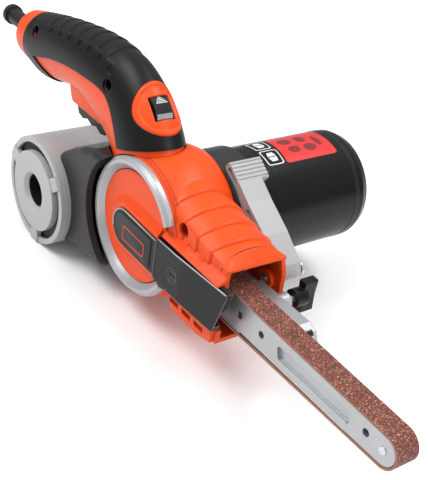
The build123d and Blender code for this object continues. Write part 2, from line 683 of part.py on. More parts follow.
def make_dust_duct(handle_plug):
    """Dark housing between the round body and the canister."""
    outline = [(-74, 8), (-60, 18), (-50, 23.5), (-36, 29), (-18, 30), (-18, -37), (-52, -41), (-64, -46)]
    duct = prism_y(outline, -24, 25, 4.0)
    near = duct.faces().sort_by(Axis.Y)[0]
    duct = fillet(near.edges(), 5.0)
    duct -= block(-48, -20, -20, 21, -33, 18)
    duct -= disc_y(CAN_X, CAN_Z, CANISTER_R + 0.5, -40, 50)
    duct -= ball_solid(0, BALL_RIGHT_Y, BALL_LEFT_Y)
    duct -= disc_y(0, 0, RING_OUT + 0.6, -40, BALL_RIGHT_Y + 1)
    duct -= disc_y(MOTOR_X, MOTOR_Z, COLLAR_R + 0.5, BALL_LEFT_Y - 1, 60)
    duct -= disc_x(DUCT_PORT[0], DUCT_PORT[1], DUCT_PORT_R, -90, -20)
    duct -= handle_plug
    return largest(duct)


# ---------------------------------------------------------------- handle
def table(pairs, t):
    """Linear interpolation in (position, value) pairs."""
    for (t0, v0), (t1, v1) in zip(pairs, pairs[1:]):
        if t <= t1:
            return v0 + (v1 - v0) * (t - t0) / (t1 - t0)
    return pairs[-1][1]


def grip_frame(t):
    """Point and unit direction of the grip's centre line at t."""
    order = len(GRIP_POLES) - 1
    point = [0.0, 0.0]
    slope = [0.0, 0.0]
    for i, pole in enumerate(GRIP_POLES):
        weight = math.comb(order, i) * t ** i * (1 - t) ** (order - i)
        point = [point[k] + weight * pole[k] for k in (0, 1)]
    for i in range(order):
        weight = math.comb(order - 1, i) * t ** i * (1 - t) ** (order - 1 - i)
        step = [GRIP_POLES[i + 1][k] - GRIP_POLES[i][k] for k in (0, 1)]
        slope = [slope[k] + order * weight * step[k] for k in (0, 1)]
    size = math.hypot(*slope)
    return point, (slope[0] / size, slope[1] / size)


def grip_section(t, inset, shift=0.0):
    point, way = grip_frame(t)
    drop = table(GRIP_DROP, t) / 2
    origin = (point[0] + way[0] * shift - way[1] * drop, 0,
              point[1] + way[1] * shift + way[0] * drop)
    plane = Plane(origin=origin, x_dir=(0, 1, 0), z_dir=(way[0], 0, way[1]))
    width = table(GRIP_WIDTH, t) - inset
    depth = table(GRIP_DEPTH, t) + drop - inset
    return plane * Ellipse(width, depth)


def grip_solid(inset, end_cut=0.0, tail=NECK_TAIL):
    """Handle body, its surface set in by a given thickness."""
    sections = [grip_section(0.0, inset, -tail)]
    stations = [GRIP_END * step / GRIP_STEPS for step in range(GRIP_STEPS)]
    sections += [grip_section(t, inset) for t in stations]
    sections.append(grip_section(GRIP_END, inset, -end_cut))
    return loft(sections, ruled=True)


OVERMOULD_SIDE = [(COLLAR_X, 110), (COLLAR_X, 18), (-109, 18), (-112, 35), (-117, 41), (-125, 45.5),
                  (-114, 48.8), (-103, 52.5), (-83, 56.5), (-62, 58.5), (-46, 58.5), (-37, 55),
                  (-29, 46.5), (-22, 35.5), (6, 45), (40, 60), (40, 110)]
DIAL_CENTRE = (-17.5, 54.6)
DIAL_R = 11.0
DIAL_HALF = 5.2
DIAL_STUB_R = 1.5
DIAL_TILT = 45.0
BEZEL_AXIS_POINT = (-10.0, 62.0)
TRIGGER_X = (-85.0, -52.0)
TRIGGER_HALF = 6.3
LOCK_BUTTON = (-58.0, 57.0)
GRIP_SCREWS = [(-127.0, 60.0), (-41.0, 63.0)]


def bezel_prism(long_r, short_r, lift=0.0):
    """Oval plug through the front of the neck, square to its surface."""
    turn = math.radians(DIAL_TILT)
    way = (math.cos(turn), 0, math.sin(turn))
    x, z = BEZEL_AXIS_POINT
    origin = (x - way[0] * (9.0 - lift), 0, z - way[2] * (9.0 - lift))
    plane = Plane(origin=origin, x_dir=(0, 1, 0), z_dir=way)
    return extrude(plane * Ellipse(short_r, long_r), amount=25)


def dial_window(half_height):
    """Slot for the thumb wheel through the front of the neck."""
    turn = math.radians(DIAL_TILT)
    x, z = BEZEL_AXIS_POINT
    box = Box(30, 2 * (DIAL_HALF + 0.5), 2 * half_height)
    return Pos(x - 6 * math.cos(turn), 0, z - 6 * math.sin(turn)) * (Rot(0, -DIAL_TILT, 0) * box)


def make_handle(core, cavity, outer):
    """Left and right orange handle shells, the overmould and the dial bezel."""
    mould_zone = prism_y(OVERMOULD_SIDE, -40, 40)
    collar = outer & block(-200, COLLAR_X, -40, 40, 0, 100)
    hood = prism_y(HOOD_SIDE, -HOOD_HALF, HOOD_HALF, 2.0)
    shells = core + collar + hood
    shells -= cavity
    shells -= disc_x(0, GUARD_Z, 5.0, -200, -131)
    trigger_slot = block(TRIGGER_X[0] - 0.6, TRIGGER_X[1] + 0.6, -TRIGGER_HALF - 0.5,
                         TRIGGER_HALF + 0.5, 15, 47)
    shells -= trigger_slot
    shells -= dial_window(11.2)
    shells -= disc_y(*DIAL_CENTRE, DIAL_STUB_R + 0.1, -9.5, 9.5)
    skin = (outer - core) & mould_zone
    bezel = (skin & bezel_prism(15.0, 13.5)) - dial_window(8.8)
    skin -= bezel_prism(15.0, 13.5)
    button_x, button_z = LOCK_BUTTON
    button_hole = disc_y(button_x, button_z, 5.35, 4, 30)
    shells -= button_hole
    skin -= button_hole
    for x, z in GRIP_SCREWS:
        shells -= disc_y(x, z, 3.3, -30, -8.0)
        shells -= disc_y(x, z, 1.75, -9.0, 4.5)
        skin -= disc_y(x, z, 3.6, -30, -8.0)
    right = largest(shells & block(-220, 40, -40, 0, -20, 120))
    left = largest(shells & block(-220, 40, 0, 40, -20, 120))
    return right, left, largest(skin), largest(bezel)


def make_grip_screws():
    screws = []
    for x, z in GRIP_SCREWS:
        screws.append(largest(screw(x, z, -10.0, 14.0)))
    return Compound(screws)


def make_trigger():
    x0, x1 = TRIGGER_X
    waves = [(x0, 41), (x0, 31), (x0 + 2, 26.5), (x0 + 7, 25.2), (x0 + 12, 27.2), (x0 + 17, 25.4),
             (x0 + 22, 27.0), (x0 + 27, 24.8), (x1 - 1, 26.0), (x1, 31), (x1, 41)]
    return prism_y(waves, -TRIGGER_HALF, TRIGGER_HALF, 0.9)


def make_switch():
    body = block(-85, -51, -8.0, 8.0, 46.8, 60)
    return body - block(-64, -52, 2, 9, 51, 61)


def make_lock_button():
    x, z = LOCK_BUTTON
    return disc_y(x, z, 5.0, 9.0, 17.6)


def make_speed_dial():
    x, z = DIAL_CENTRE
    return disc_y(x, z, DIAL_R, -DIAL_HALF, DIAL_HALF) + disc_y(x, z, DIAL_STUB_R, -9.0, 9.0)


def make_speed_module():
    return block(-43, -31, -7, 7, 42, 58)


def make_cord_guard():
    """Rubber sleeve with a flared lip and a bore for the mains lead."""
    guard = disc_x(0, GUARD_Z, 5.0, -183.0, -141.0) + disc_x(0, GUARD_Z, 6.2, -185.5, -182.0)
    guard += disc_x(0, GUARD_Z, 5.8, -143.6, -141.2)
    return guard - disc_x(0, GUARD_Z, CORD_BORE_R, -200, -135)


def make_cord_clamp():
    return block(-136, -130, -4.5, 4.5, 44.0, 46.0)


# ---------------------------------------------------------------- build all nodes
trim_zone = disc_y(0, 0, RING_OUT + 0.4, -40, BALL_RIGHT_Y + 2.0)
grip_outer = grip_solid(0.0) - trim_zone
grip_core = grip_solid(GRIP_SKIN) - trim_zone
grip_cavity = grip_solid(GRIP_SKIN + SHELL_WALL, end_cut=6.0, tail=NECK_TAIL + 3)

right_housing, left_housing = make_housings(grip_outer)
nodes["right_housing"] = right_housing
nodes["left_housing"] = left_housing
nodes["ring_trim"] = make_ring_trim()
nodes["door_panel"] = make_door_panel()
nodes["belt_cover"] = make_belt_cover()
nodes["cover_screw"] = make_cover_screw()
nodes["door_post"] = make_door_post()
nodes["housing_screws"] = Compound([largest(screw(x, z, y, BALL_LEFT_Y - 1.0 - y))
                                    for x, z, y in screw_places()])

nodes["sanding_belt"] = make_belt()
nodes["sanding_arm"] = make_sanding_arm()
nodes["platen"] = make_platen()
nodes["tip_roller"] = make_tip_roller()
nodes["tip_roller_axle"] = make_tip_axle()
nodes["tension_spring"] = make_tension_spring()

nodes["drive_pulley"] = make_drive_pulley()
nodes["drive_shaft"] = make_drive_shaft()
nodes["pulley_nut"] = make_pulley_nut()
nodes["driven_gear"] = make_gear(PULLEY_X, BELT_Z, GEAR_TEETH, GEAR_LINE, SHAFT_R)
nodes["motor_pinion"] = make_gear(MOTOR_X, MOTOR_Z, PINION_TEETH,
                                  GEAR_LINE + math.pi + math.pi / PINION_TEETH, SHAFT_R)
nodes["drive_bearing_inner"] = make_bearing(PULLEY_X, BELT_Z, 21.5, 28.0, DRIVE_BEARING_R)
nodes["drive_bearing_outer"] = make_bearing(PULLEY_X, BELT_Z, 42.0, 47.0, DRIVE_BEARING_R)
nodes["gear_housing"] = make_gear_housing(make_lever_clearance())

nodes["motor_housing"] = make_motor_housing()
nodes["motor_end_cap"] = make_motor_end_cap()
nodes["rating_plate"] = make_rating_plate()
nodes["motor_bearing_front"] = make_bearing(MOTOR_X, MOTOR_Z, 42.0, 47.0, MOTOR_BEARING_R)
nodes["motor_bearing_rear"] = make_bearing(MOTOR_X, MOTOR_Z, 112.0, 118.0, MOTOR_BEARING_R)
nodes["armature_shaft"] = make_armature_shaft()
nodes["armature_core"] = make_armature_core()
nodes["armature_winding"] = make_armature_winding()
nodes["commutator"] = make_commutator()
nodes["cooling_fan"] = make_fan()
nodes["field_stator"] = make_stator()
nodes["field_coils"] = make_field_coils()
for side_name, side in (("rear", -1), ("front", 1)):
    nodes["carbon_brush_" + side_name] = make_brush(side)
    nodes["brush_holder_" + side_name] = make_brush_holder(side)

nodes["tension_lever"] = make_tension_lever()
nodes["lever_pivot_pin"] = make_lever_pin()
nodes["dust_extraction_arm"] = make_dust_arm()
nodes["wing_knob"] = make_wing_knob()
nodes["wing_knob_stud"] = make_knob_stud()

nodes["canister_shell"] = make_canister_shell()
nodes["canister_end_cap"] = make_canister_cap()
nodes["canister_filter"] = make_canister_filter()
nodes["cyclone_cone"] = make_cyclone_cone()
nodes["dust_duct"] = make_dust_duct(grip_outer)

handle_right, handle_left, handle_grip, dial_bezel = make_handle(grip_core, grip_cavity, grip_outer)
nodes["handle_shell_right"] = handle_right
nodes["handle_shell_left"] = handle_left
nodes["handle_grip"] = handle_grip
nodes["dial_bezel"] = dial_bezel
nodes["handle_screws"] = make_grip_screws()
nodes["trigger"] = make_trigger()
nodes["switch_module"] = make_switch()
nodes["lock_button"] = make_lock_button()
nodes["speed_dial"] = make_speed_dial()
nodes["speed_module"] = make_speed_module()
nodes["cord_guard"] = make_cord_guard()
nodes["cord_clamp"] = make_cord_clamp()

# ---------------------------------------------------------------- place and write
whole = Compound([solid for shape in nodes.values() for solid in shape.solids()]).bounding_box()
SHIFT = (-(whole.min.X + whole.max.X) / 2, -(whole.min.Y + whole.max.Y) / 2, -whole.min.Z)

os.makedirs("parts", exist_ok=True)
for name, shape in nodes.items():
    solids = [solid.moved(Location(SHIFT)) for solid in shape.solids()]
    piece = solids[0] if len(solids) == 1 else Compound(solids)
    export_step(piece, "parts/" + name + ".step")
print(len(nodes), "nodes, shift", [round(value, 3) for value in SHIFT])
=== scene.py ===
import json
import math

import bmesh
import bpy
from mathutils import Matrix, Vector, noise
from mathutils.bvhtree import BVHTree


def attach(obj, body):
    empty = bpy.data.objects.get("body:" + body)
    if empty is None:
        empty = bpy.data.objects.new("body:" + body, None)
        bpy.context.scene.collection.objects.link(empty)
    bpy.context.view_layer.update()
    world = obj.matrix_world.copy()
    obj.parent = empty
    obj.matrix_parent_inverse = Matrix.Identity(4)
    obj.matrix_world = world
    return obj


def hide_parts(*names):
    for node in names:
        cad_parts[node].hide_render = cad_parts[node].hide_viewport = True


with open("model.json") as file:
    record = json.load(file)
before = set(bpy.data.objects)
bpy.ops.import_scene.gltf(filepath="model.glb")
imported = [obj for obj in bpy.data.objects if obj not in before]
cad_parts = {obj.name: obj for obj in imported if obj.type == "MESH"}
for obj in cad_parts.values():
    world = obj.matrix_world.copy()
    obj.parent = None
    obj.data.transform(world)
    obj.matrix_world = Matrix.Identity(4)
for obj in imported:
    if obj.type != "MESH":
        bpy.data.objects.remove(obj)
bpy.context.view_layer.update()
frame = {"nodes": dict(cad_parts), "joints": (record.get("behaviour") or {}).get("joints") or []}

JOINTS = {joint["name"]: joint for joint in frame["joints"]}
NODES = frame["nodes"]

# The round housing's axis in the belt's middle plane, from the pulley's joint (millimetres).
PULLEY = (-12.0, 0.0, -6.3)
AXIS = [1000 * a - b for a, b in zip(JOINTS["drive_spin"]["pos_m"], PULLEY)]


def P(x, y, z):
    """A point given from the housing's axis in millimetres, in the row frame in metres."""
    return Vector(((x + AXIS[0]) / 1000, (y + AXIS[1]) / 1000, (z + AXIS[2]) / 1000))


# ---------------------------------------------------------------- materials
def shader(name):
    made = bpy.data.materials.new(name)
    made.use_nodes = True
    tree = made.node_tree
    return made, tree, tree.nodes["Principled BSDF"]


def node(tree, kind, **values):
    made = tree.nodes.new(kind)
    for key, value in values.items():
        if key in made.inputs:
            made.inputs[key].default_value = value
        else:
            setattr(made, key, value)
    return made


def tone(colour, factor):
    return tuple(min(1.0, c * factor) for c in colour) + (1.0,)


def mix_colour(tree, factor, a, b):
    """Colour mix: a and b are colours or output sockets."""
    mix = tree.nodes.new("ShaderNodeMix")
    mix.data_type = "RGBA"
    for socket, value in ((mix.inputs[6], a), (mix.inputs[7], b)):
        if isinstance(value, tuple):
            socket.default_value = value
        else:
            tree.links.new(value, socket)
    tree.links.new(factor, mix.inputs[0])
    return mix.outputs[2]


def ramp(tree, source, low, high, start=0.0, end=1.0):
    rng = tree.nodes.new("ShaderNodeMapRange")
    for key, value in (("From Min", low), ("From Max", high), ("To Min", start), ("To Max", end)):
        rng.inputs[key].default_value = value
    tree.links.new(source, rng.inputs["Value"])
    return rng.outputs["Result"]


def moulded(name, colour, rough, grain=2600, depth=0.00003, mottle=0.05, edge=0.25,
            round_mm=0.5, metallic=0.0, stretch=None, specular=0.5):
    """A moulded, cast or machined surface: fine grain, uneven tone, softened edges and a painted highlight
    along them.
    """
    made, tree, bsdf = shader(name)
    links = tree.links
    coords = tree.nodes.new("ShaderNodeTexCoord").outputs["Object"]
    if stretch:
        mapping = tree.nodes.new("ShaderNodeMapping")
        mapping.inputs["Scale"].default_value = stretch
        links.new(coords, mapping.inputs["Vector"])
        fine_coords = mapping.outputs["Vector"]
    else:
        fine_coords = coords
    broad = node(tree, "ShaderNodeTexNoise", Scale=55.0, Detail=3.0)
    links.new(coords, broad.inputs["Vector"])
    fine = node(tree, "ShaderNodeTexNoise", Scale=float(grain), Detail=4.0, Roughness=0.6)
    links.new(fine_coords, fine.inputs["Vector"])
    base = mix_colour(tree, broad.outputs["Fac"], tone(colour, 1 - mottle), tone(colour, 1 + mottle))
    bevel = node(tree, "ShaderNodeBevel", Radius=round_mm / 1000, samples=4)
    flat = tree.nodes.new("ShaderNodeNewGeometry")
    turn = node(tree, "ShaderNodeVectorMath", operation="DOT_PRODUCT")
    links.new(bevel.outputs["Normal"], turn.inputs[0])
    links.new(flat.outputs["Normal"], turn.inputs[1])
    # painted highlight: where the bevelled normal turns away from the face, the colour is mixed towards a
    # lighter tone
    wear_and_painted_highlight = ramp(tree, turn.outputs["Value"], 0.995, 0.85, 0.0, edge)
    light = tuple(c + (1 - c) * 0.35 for c in colour) + (1.0,)
    links.new(mix_colour(tree, wear_and_painted_highlight, base, light), bsdf.inputs["Base Color"])
    links.new(ramp(tree, fine.outputs["Fac"], 0.3, 0.7, rough - 0.05, rough + 0.07),
              bsdf.inputs["Roughness"])
    bump = node(tree, "ShaderNodeBump", Strength=0.6, Distance=depth)
    links.new(fine.outputs["Fac"], bump.inputs["Height"])
    links.new(bevel.outputs["Normal"], bump.inputs["Normal"])
    links.new(bump.outputs["Normal"], bsdf.inputs["Normal"])
    bsdf.inputs["Metallic"].default_value = metallic
    bsdf.inputs["Specular IOR Level"].default_value = 0.2 if max(colour) < 0.05 else specular
    return made


def gritty(name):
    """Red-brown abrasive grit: dark and light grains bonded to the cloth."""
    made, tree, bsdf = shader(name)
    links = tree.links
    coords = tree.nodes.new("ShaderNodeTexCoord").outputs["Object"]
    cells = node(tree, "ShaderNodeTexVoronoi", Scale=2300.0)
    links.new(coords, cells.inputs["Vector"])
    wear_and_painted_highlight = node(tree, "ShaderNodeTexNoise", Scale=120.0, Detail=5.0)
    links.new(coords, wear_and_painted_highlight.inputs["Vector"])
    grains = tree.nodes.new("ShaderNodeSeparateColor")
    links.new(cells.outputs["Color"], grains.inputs["Color"])
    dark = mix_colour(tree, wear_and_painted_highlight.outputs["Fac"], (0.045, 0.010, 0.006, 1), (0.105, 0.026, 0.016, 1))
    spread = ramp(tree, grains.outputs["Red"], 0.25, 1.0)
    body = mix_colour(tree, spread, dark, (0.22, 0.060, 0.036, 1))
    spark = ramp(tree, grains.outputs["Green"], 0.86, 0.95)
    links.new(mix_colour(tree, spark, body, (0.52, 0.26, 0.18, 1)), bsdf.inputs["Base Color"])
    links.new(ramp(tree, grains.outputs["Blue"], 0, 1, 0.45, 0.9), bsdf.inputs["Roughness"])
    bump = node(tree, "ShaderNodeBump", Strength=0.9, Distance=0.00025)
    links.new(grains.outputs["Red"], bump.inputs["Height"])
    links.new(bump.outputs["Normal"], bsdf.inputs["Normal"])
    return made


def woven(name, colour):
    """Cotton backing cloth: two crossed sets of threads."""
    made, tree, bsdf = shader(name)
    links = tree.links
    coords = tree.nodes.new("ShaderNodeTexCoord").outputs["Object"]
    warp = node(tree, "ShaderNodeTexWave", Scale=900.0, Distortion=1.0, bands_direction="X")
    weft = node(tree, "ShaderNodeTexWave", Scale=900.0, Distortion=1.0, bands_direction="Y")
    for wave in (warp, weft):
        links.new(coords, wave.inputs["Vector"])
    high = node(tree, "ShaderNodeMath", operation="MAXIMUM")
    links.new(warp.outputs["Fac"], high.inputs[0])
    links.new(weft.outputs["Fac"], high.inputs[1])
    links.new(mix_colour(tree, high.outputs["Value"], tone(colour, 0.7), tone(colour, 1.15)),
              bsdf.inputs["Base Color"])
    bump = node(tree, "ShaderNodeBump", Strength=0.7, Distance=0.0001)
    links.new(high.outputs["Value"], bump.inputs["Height"])
    links.new(bump.outputs["Normal"], bsdf.inputs["Normal"])
    bsdf.inputs["Roughness"].default_value = 0.9
    bsdf.inputs["Sheen Weight"].default_value = 0.3
    return made


# edge sets how strong each material's painted highlight along its edges is
ORANGE = moulded("orange_plastic", (0.70, 0.060, 0.002), 0.38, grain=2200, depth=0.000015,
                 mottle=0.03, edge=0.14, round_mm=0.9, specular=0.28)
ORANGE_DARK = moulded("orange_shade", (0.42, 0.035, 0.008), 0.5, mottle=0.05, edge=0.0)
RUBBER = moulded("black_rubber", (0.0045, 0.0045, 0.0048), 0.40, grain=3400, depth=0.00004,
                 mottle=0.15, edge=0.04, round_mm=0.6)
BLACK = moulded("black_plastic", (0.004, 0.004, 0.0042), 0.26, grain=2600, depth=0.00001,
                mottle=0.10, edge=0.14, round_mm=0.6)
COVER_BLACK = moulded("cover_plastic", (0.0045, 0.0045, 0.0050), 0.34, grain=3000, depth=0.00002,
                      mottle=0.12, edge=0.75, round_mm=0.7)
DARK_GREY = moulded("dark_grey_plastic", (0.022, 0.0225, 0.024), 0.36, grain=3000, depth=0.00003,
                    mottle=0.08, edge=0.06, round_mm=0.9)
SILVER = moulded("silver_plastic", (0.36, 0.375, 0.39), 0.30, grain=3600, depth=0.00001,
                 mottle=0.02, edge=0.3, metallic=0.35, round_mm=0.6)
LIGHT_GREY = moulded("light_grey_plastic", (0.36, 0.365, 0.37), 0.42, grain=2600, depth=0.00003,
                     mottle=0.03, edge=0.5, round_mm=0.9)
CAST = moulded("cast_aluminium", (0.40, 0.41, 0.42), 0.38, grain=1800, depth=0.00006,
               mottle=0.08, edge=0.4, metallic=0.75, round_mm=0.5)
CAST_LIGHT = moulded("cast_lever", (0.33, 0.33, 0.335), 0.45, grain=2400, depth=0.00004,
                     mottle=0.03, edge=0.35, metallic=0.15, round_mm=0.6)
STEEL = moulded("steel", (0.55, 0.55, 0.56), 0.28, grain=900, depth=0.00001, mottle=0.05,
                edge=0.3, metallic=1.0, stretch=(0.2, 3.0, 3.0), round_mm=0.3)
BLACK_STEEL = moulded("black_steel", (0.03, 0.03, 0.032), 0.32, metallic=0.6, edge=0.5, round_mm=0.4)
COPPER = moulded("copper", (0.72, 0.34, 0.18), 0.35, metallic=1.0, stretch=(6, 0.3, 6), grain=1200)
SEAL = moulded("seal_rubber", (0.012, 0.012, 0.013), 0.42, grain=3000, depth=0.00002,
               mottle=0.1, edge=0.1, round_mm=0.5)
FILTER = woven("filter_fabric", (0.05, 0.05, 0.05))
CLOTH = woven("belt_cloth", (0.30, 0.13, 0.075))
GRIT = gritty("belt_grit")
RED = moulded("label_red", (0.55, 0.016, 0.014), 0.3, grain=3000, depth=0.000004, mottle=0.06,
              edge=0.0)
INK = moulded("label_ink", (0.16, 0.008, 0.008), 0.3, grain=3000, depth=0.000004, edge=0.0)
PRINT = moulded("label_print", (0.62, 0.63, 0.63), 0.4, grain=3000, depth=0.000004, edge=0.0)
DIAL_GREY = moulded("dial_band", (0.34, 0.35, 0.35), 0.4, edge=0.1)

LOOKS = {
    ORANGE: ["right_housing", "left_housing", "door_panel", "dial_bezel", "handle_shell_right",
             "handle_shell_left"],
    SILVER: ["ring_trim"],
    COVER_BLACK: ["belt_cover"],
    BLACK: ["motor_housing", "motor_end_cap", "trigger", "switch_module", "lock_button",
            "wing_knob", "cooling_fan", "speed_dial"],
    RUBBER: ["handle_grip"],
    SEAL: ["cord_guard", "drive_pulley"],
    DARK_GREY: ["gear_housing", "dust_duct", "cyclone_cone", "cord_clamp", "speed_module"],
    LIGHT_GREY: ["canister_shell", "canister_end_cap"],
    CAST: ["sanding_arm", "dust_extraction_arm"],
    CAST_LIGHT: ["tension_lever"],
    STEEL: ["door_post", "housing_screws", "platen", "tip_roller", "tip_roller_axle",
            "tension_spring", "drive_shaft", "pulley_nut", "driven_gear", "motor_pinion",
            "drive_bearing_inner", "drive_bearing_outer", "motor_bearing_front",
            "motor_bearing_rear", "armature_shaft", "armature_core", "field_stator",
            "lever_pivot_pin", "wing_knob_stud"],
    BLACK_STEEL: ["cover_screw", "handle_screws", "carbon_brush_rear", "carbon_brush_front"],
    COPPER: ["armature_winding", "commutator", "field_coils", "brush_holder_rear",
             "brush_holder_front"],
    FILTER: ["canister_filter"],
    CLOTH: ["sanding_belt"],
    RED: ["rating_plate"],
}
for look, names in LOOKS.items():
    for name in names:
        for slot in NODES[name].material_slots:
            slot.material = look


# ---------------------------------------------------------------- mesh helpers
def add(name, verts, faces, looks, body="root", slot=None, face_look=None, smooth=True):
    """A new object from points and faces in the row frame."""
    mesh = bpy.data.meshes.new(name)
    mesh.from_pydata([tuple(v) for v in verts], [], faces)
    looks = looks if isinstance(looks, list) else [looks]
    for look in looks:
        mesh.materials.append(look)
    if face_look:
        for polygon, index in zip(mesh.polygons, face_look):
            polygon.material_index = index
    obj = bpy.data.objects.new(name, mesh)
    bpy.context.scene.collection.objects.link(obj)
    tidy = bmesh.new()
    tidy.from_mesh(mesh)
    bmesh.ops.remove_doubles(tidy, verts=tidy.verts, dist=1e-7)
    bmesh.ops.recalc_face_normals(tidy, faces=tidy.faces)
    tidy.to_mesh(mesh)
    tidy.free()
    for polygon in mesh.polygons:
        polygon.use_smooth = smooth
    if body:
        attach(obj, body)
    return obj


def sheet_faces(rows, columns, close_rows=False, close_columns=False):
    faces = []
    for i in range(rows if close_rows else rows - 1):
        for j in range(columns if close_columns else columns - 1):
            a, b = (i + 1) % rows, (j + 1) % columns
            faces.append((i * columns + j, i * columns + b, a * columns + b, a * columns + j))
    return faces


def settle(obj):
    """Makes an object's modifiers part of its mesh."""
    graph = bpy.context.evaluated_depsgraph_get()
    mesh = bpy.data.meshes.new_from_object(obj.evaluated_get(graph))
    old = obj.data
    obj.modifiers.clear()
    obj.data = mesh
    bpy.data.meshes.remove(old)
    return obj


def cut(obj, cutter, operation="DIFFERENCE"):
    boolean = obj.modifiers.new("cut", "BOOLEAN")
    boolean.operation = operation
    boolean.solver = "EXACT"
    boolean.object = cutter
    settle(obj)
    bpy.data.objects.remove(cutter)
    return obj


def soften(obj, width, segments=3, angle=40):
    bevel = obj.modifiers.new("soften", "BEVEL")
    bevel.width = width / 1000
    bevel.segments = segments
    bevel.limit_method = "ANGLE"
    bevel.angle_limit = math.radians(angle)
    bevel.harden_normals = False
    settle(obj)
    crease(obj)
    return obj


def crease(obj, angle=35):
    """Sharp shading only where faces meet at more than the angle."""
    mesh = obj.data
    for polygon in mesh.polygons:
        polygon.use_smooth = True
    mesh.set_sharp_from_angle(angle=math.radians(angle))
    return obj


def prism(name, outline, y0, y1, look, **more):
    """Side outline of (x, z) points, extruded along Y."""
    count = len(outline)
    verts = [P(x, y, z) for y in (y0, y1) for x, z in outline]
    faces = [tuple(range(count)), tuple(range(2 * count - 1, count - 1, -1))]
    faces += [(i, (i + 1) % count, count + (i + 1) % count, count + i) for i in range(count)]
    return add(name, verts, faces, look, smooth=False, **more)


def turned(name, centre, profile, look, steps=96, span=(0, 360), axis="Y", **more):
    """Closed profile of (radius, along) points turned about an axis through centre."""
    whole = span[1] - span[0] >= 360
    count = steps if whole else steps + 1
    verts = []
    for i in range(count):
        turn = math.radians(span[0] + (span[1] - span[0]) * i / steps)
        for radius, along in profile:
            a, b = radius * math.cos(turn), radius * math.sin(turn)
            if axis == "Y":
                verts.append(P(centre[0] + a, along, centre[1] + b))
            else:
                verts.append(P(along, centre[0] + a, centre[1] + b))
    faces = sheet_faces(count, len(profile), whole, True)
    if not whole:
        faces.append(tuple(range(len(profile))))
        faces.append(tuple(range((count - 1) * len(profile), count * len(profile))))
    made = add(name, verts, faces, look, **more)
    return crease(made)


def rounded(points, radius, steps=5):
    """An outline with each corner rounded by an arc-like curve."""
    out = []
    count = len(points)
    for i in range(count):
        here = Vector(points[i])
        before = Vector(points[i - 1]) - here
        after = Vector(points[(i + 1) % count]) - here
        reach = min(radius, before.length * 0.45, after.length * 0.45)
        start, end = here + before.normalized() * reach, here + after.normalized() * reach
        for k in range(steps + 1):
            t = k / steps
            spot = start * (1 - t) ** 2 + here * 2 * t * (1 - t) + end * t ** 2
            out.append((spot[0], spot[1]))
    return out


def dense(outline, step):
    """The same closed outline with its long edges divided."""
    out = []
    for i, start in enumerate(outline):
        start, end = Vector(start), Vector(outline[(i + 1) % len(outline)])
        parts = max(1, math.ceil((end - start).length / step))
        out += [tuple(start.lerp(end, k / parts)) for k in range(parts)]
    return out


def through(points, steps=8, closed=True):
    """A smooth curve through the points."""
    out = []
    count = len(points)
    for i in range(count if closed else count - 1):
        if closed:
            q = [Vector(points[(i + k) % count]) for k in (-1, 0, 1, 2)]
        else:
            q = [Vector(points[min(max(i + k, 0), count - 1)]) for k in (-1, 0, 1, 2)]
        for k in range(steps):
            t = k / steps
            spot = 0.5 * (2 * q[1] + (q[2] - q[0]) * t + (2 * q[0] - 5 * q[1] + 4 * q[2] - q[3]) * t ** 2
                          + (3 * q[1] - q[0] - 3 * q[2] + q[3]) * t ** 3)
            out.append(tuple(spot))
    return out


def tree_of(*objs):
    """A ray-casting tree of the objects' final meshes."""
    verts, faces = [], []
    for obj in objs:
        start = len(verts)
        verts += [v.co.copy() for v in obj.data.vertices]
        faces += [[start + i for i in p.vertices] for p in obj.data.polygons]
    return BVHTree.FromPolygons(verts, faces)


def tube(name, points, radius, look, sides=8, closed=False, **more):
    """A thin round bead along points in the row frame."""
    rows = []
    count = len(points)
    for i, spot in enumerate(points):
        if closed:
            way = points[(i + 1) % count] - points[i - 1]
        else:
            way = points[min(i + 1, count - 1)] - points[max(i - 1, 0)]
        way.normalize()
        side = way.orthogonal() if abs(way.y) > 0.95 else way.cross(Vector((0, 1, 0)))
        side.normalize()
        rise = way.cross(side)
        for k in range(sides):
            turn = 2 * math.pi * k / sides
            rows.append(spot + (side * math.cos(turn) + rise * math.sin(turn)) * radius / 1000)
    faces = sheet_faces(count, sides, closed, True)
    if not closed:
        faces += [tuple(range(sides)), tuple(range((count - 1) * sides, count * sides))]
    return add(name, rows, faces, look, **more)


# ---------------------------------------------------------------- handle
# Centre line's control points (x, z), then (station, half size) tables: 0 at the neck, 1 at the rear.
GRIP_POLES = [(-17.4, 30.6), (-27.9, 52.7), (-62.4, 65.9), (-109.1, 59.1), (-168.1, 45.5)]
GRIP_DEPTH = [(-0.3, 24.0), (0.0, 24.4), (0.33, 26.3), (0.66, 17.9), (1.0, 11.5), (1.3, 8.0)]
GRIP_WIDTH = [(-0.3, 18.5), (0.0, 18.5), (0.3, 17.0), (0.8, 16.0), (1.0, 13.0), (1.3, 11.0)]
GRIP_DROP = [(-0.3, 0.0), (0.0, 0.0), (0.52, 0.0), (0.64, 3.0), (0.74, 7.0), (0.82, 9.0), (0.89, 5.0),
             (1.0, 0.0), (1.3, 0.0)]
GRIP_END = 0.925
COLLAR_X = -139.5
GRIP_SCREWS = [(-127.0, 60.0), (-41.0, 63.0)]
SCREW_HOLES_R = [3.5, 3.7]
SCREW_FLOOR_Y = -7.6
LOCK_BUTTON = (-58.0, 57.0)
LOCK_HOLE_R = 5.35
TRIGGER_SLOT_X = (-85.6, -51.4)
TRIGGER_SLOT_HALF = 6.9
GUARD_Z = 48.0
GUARD_HOLE_R = 5.2


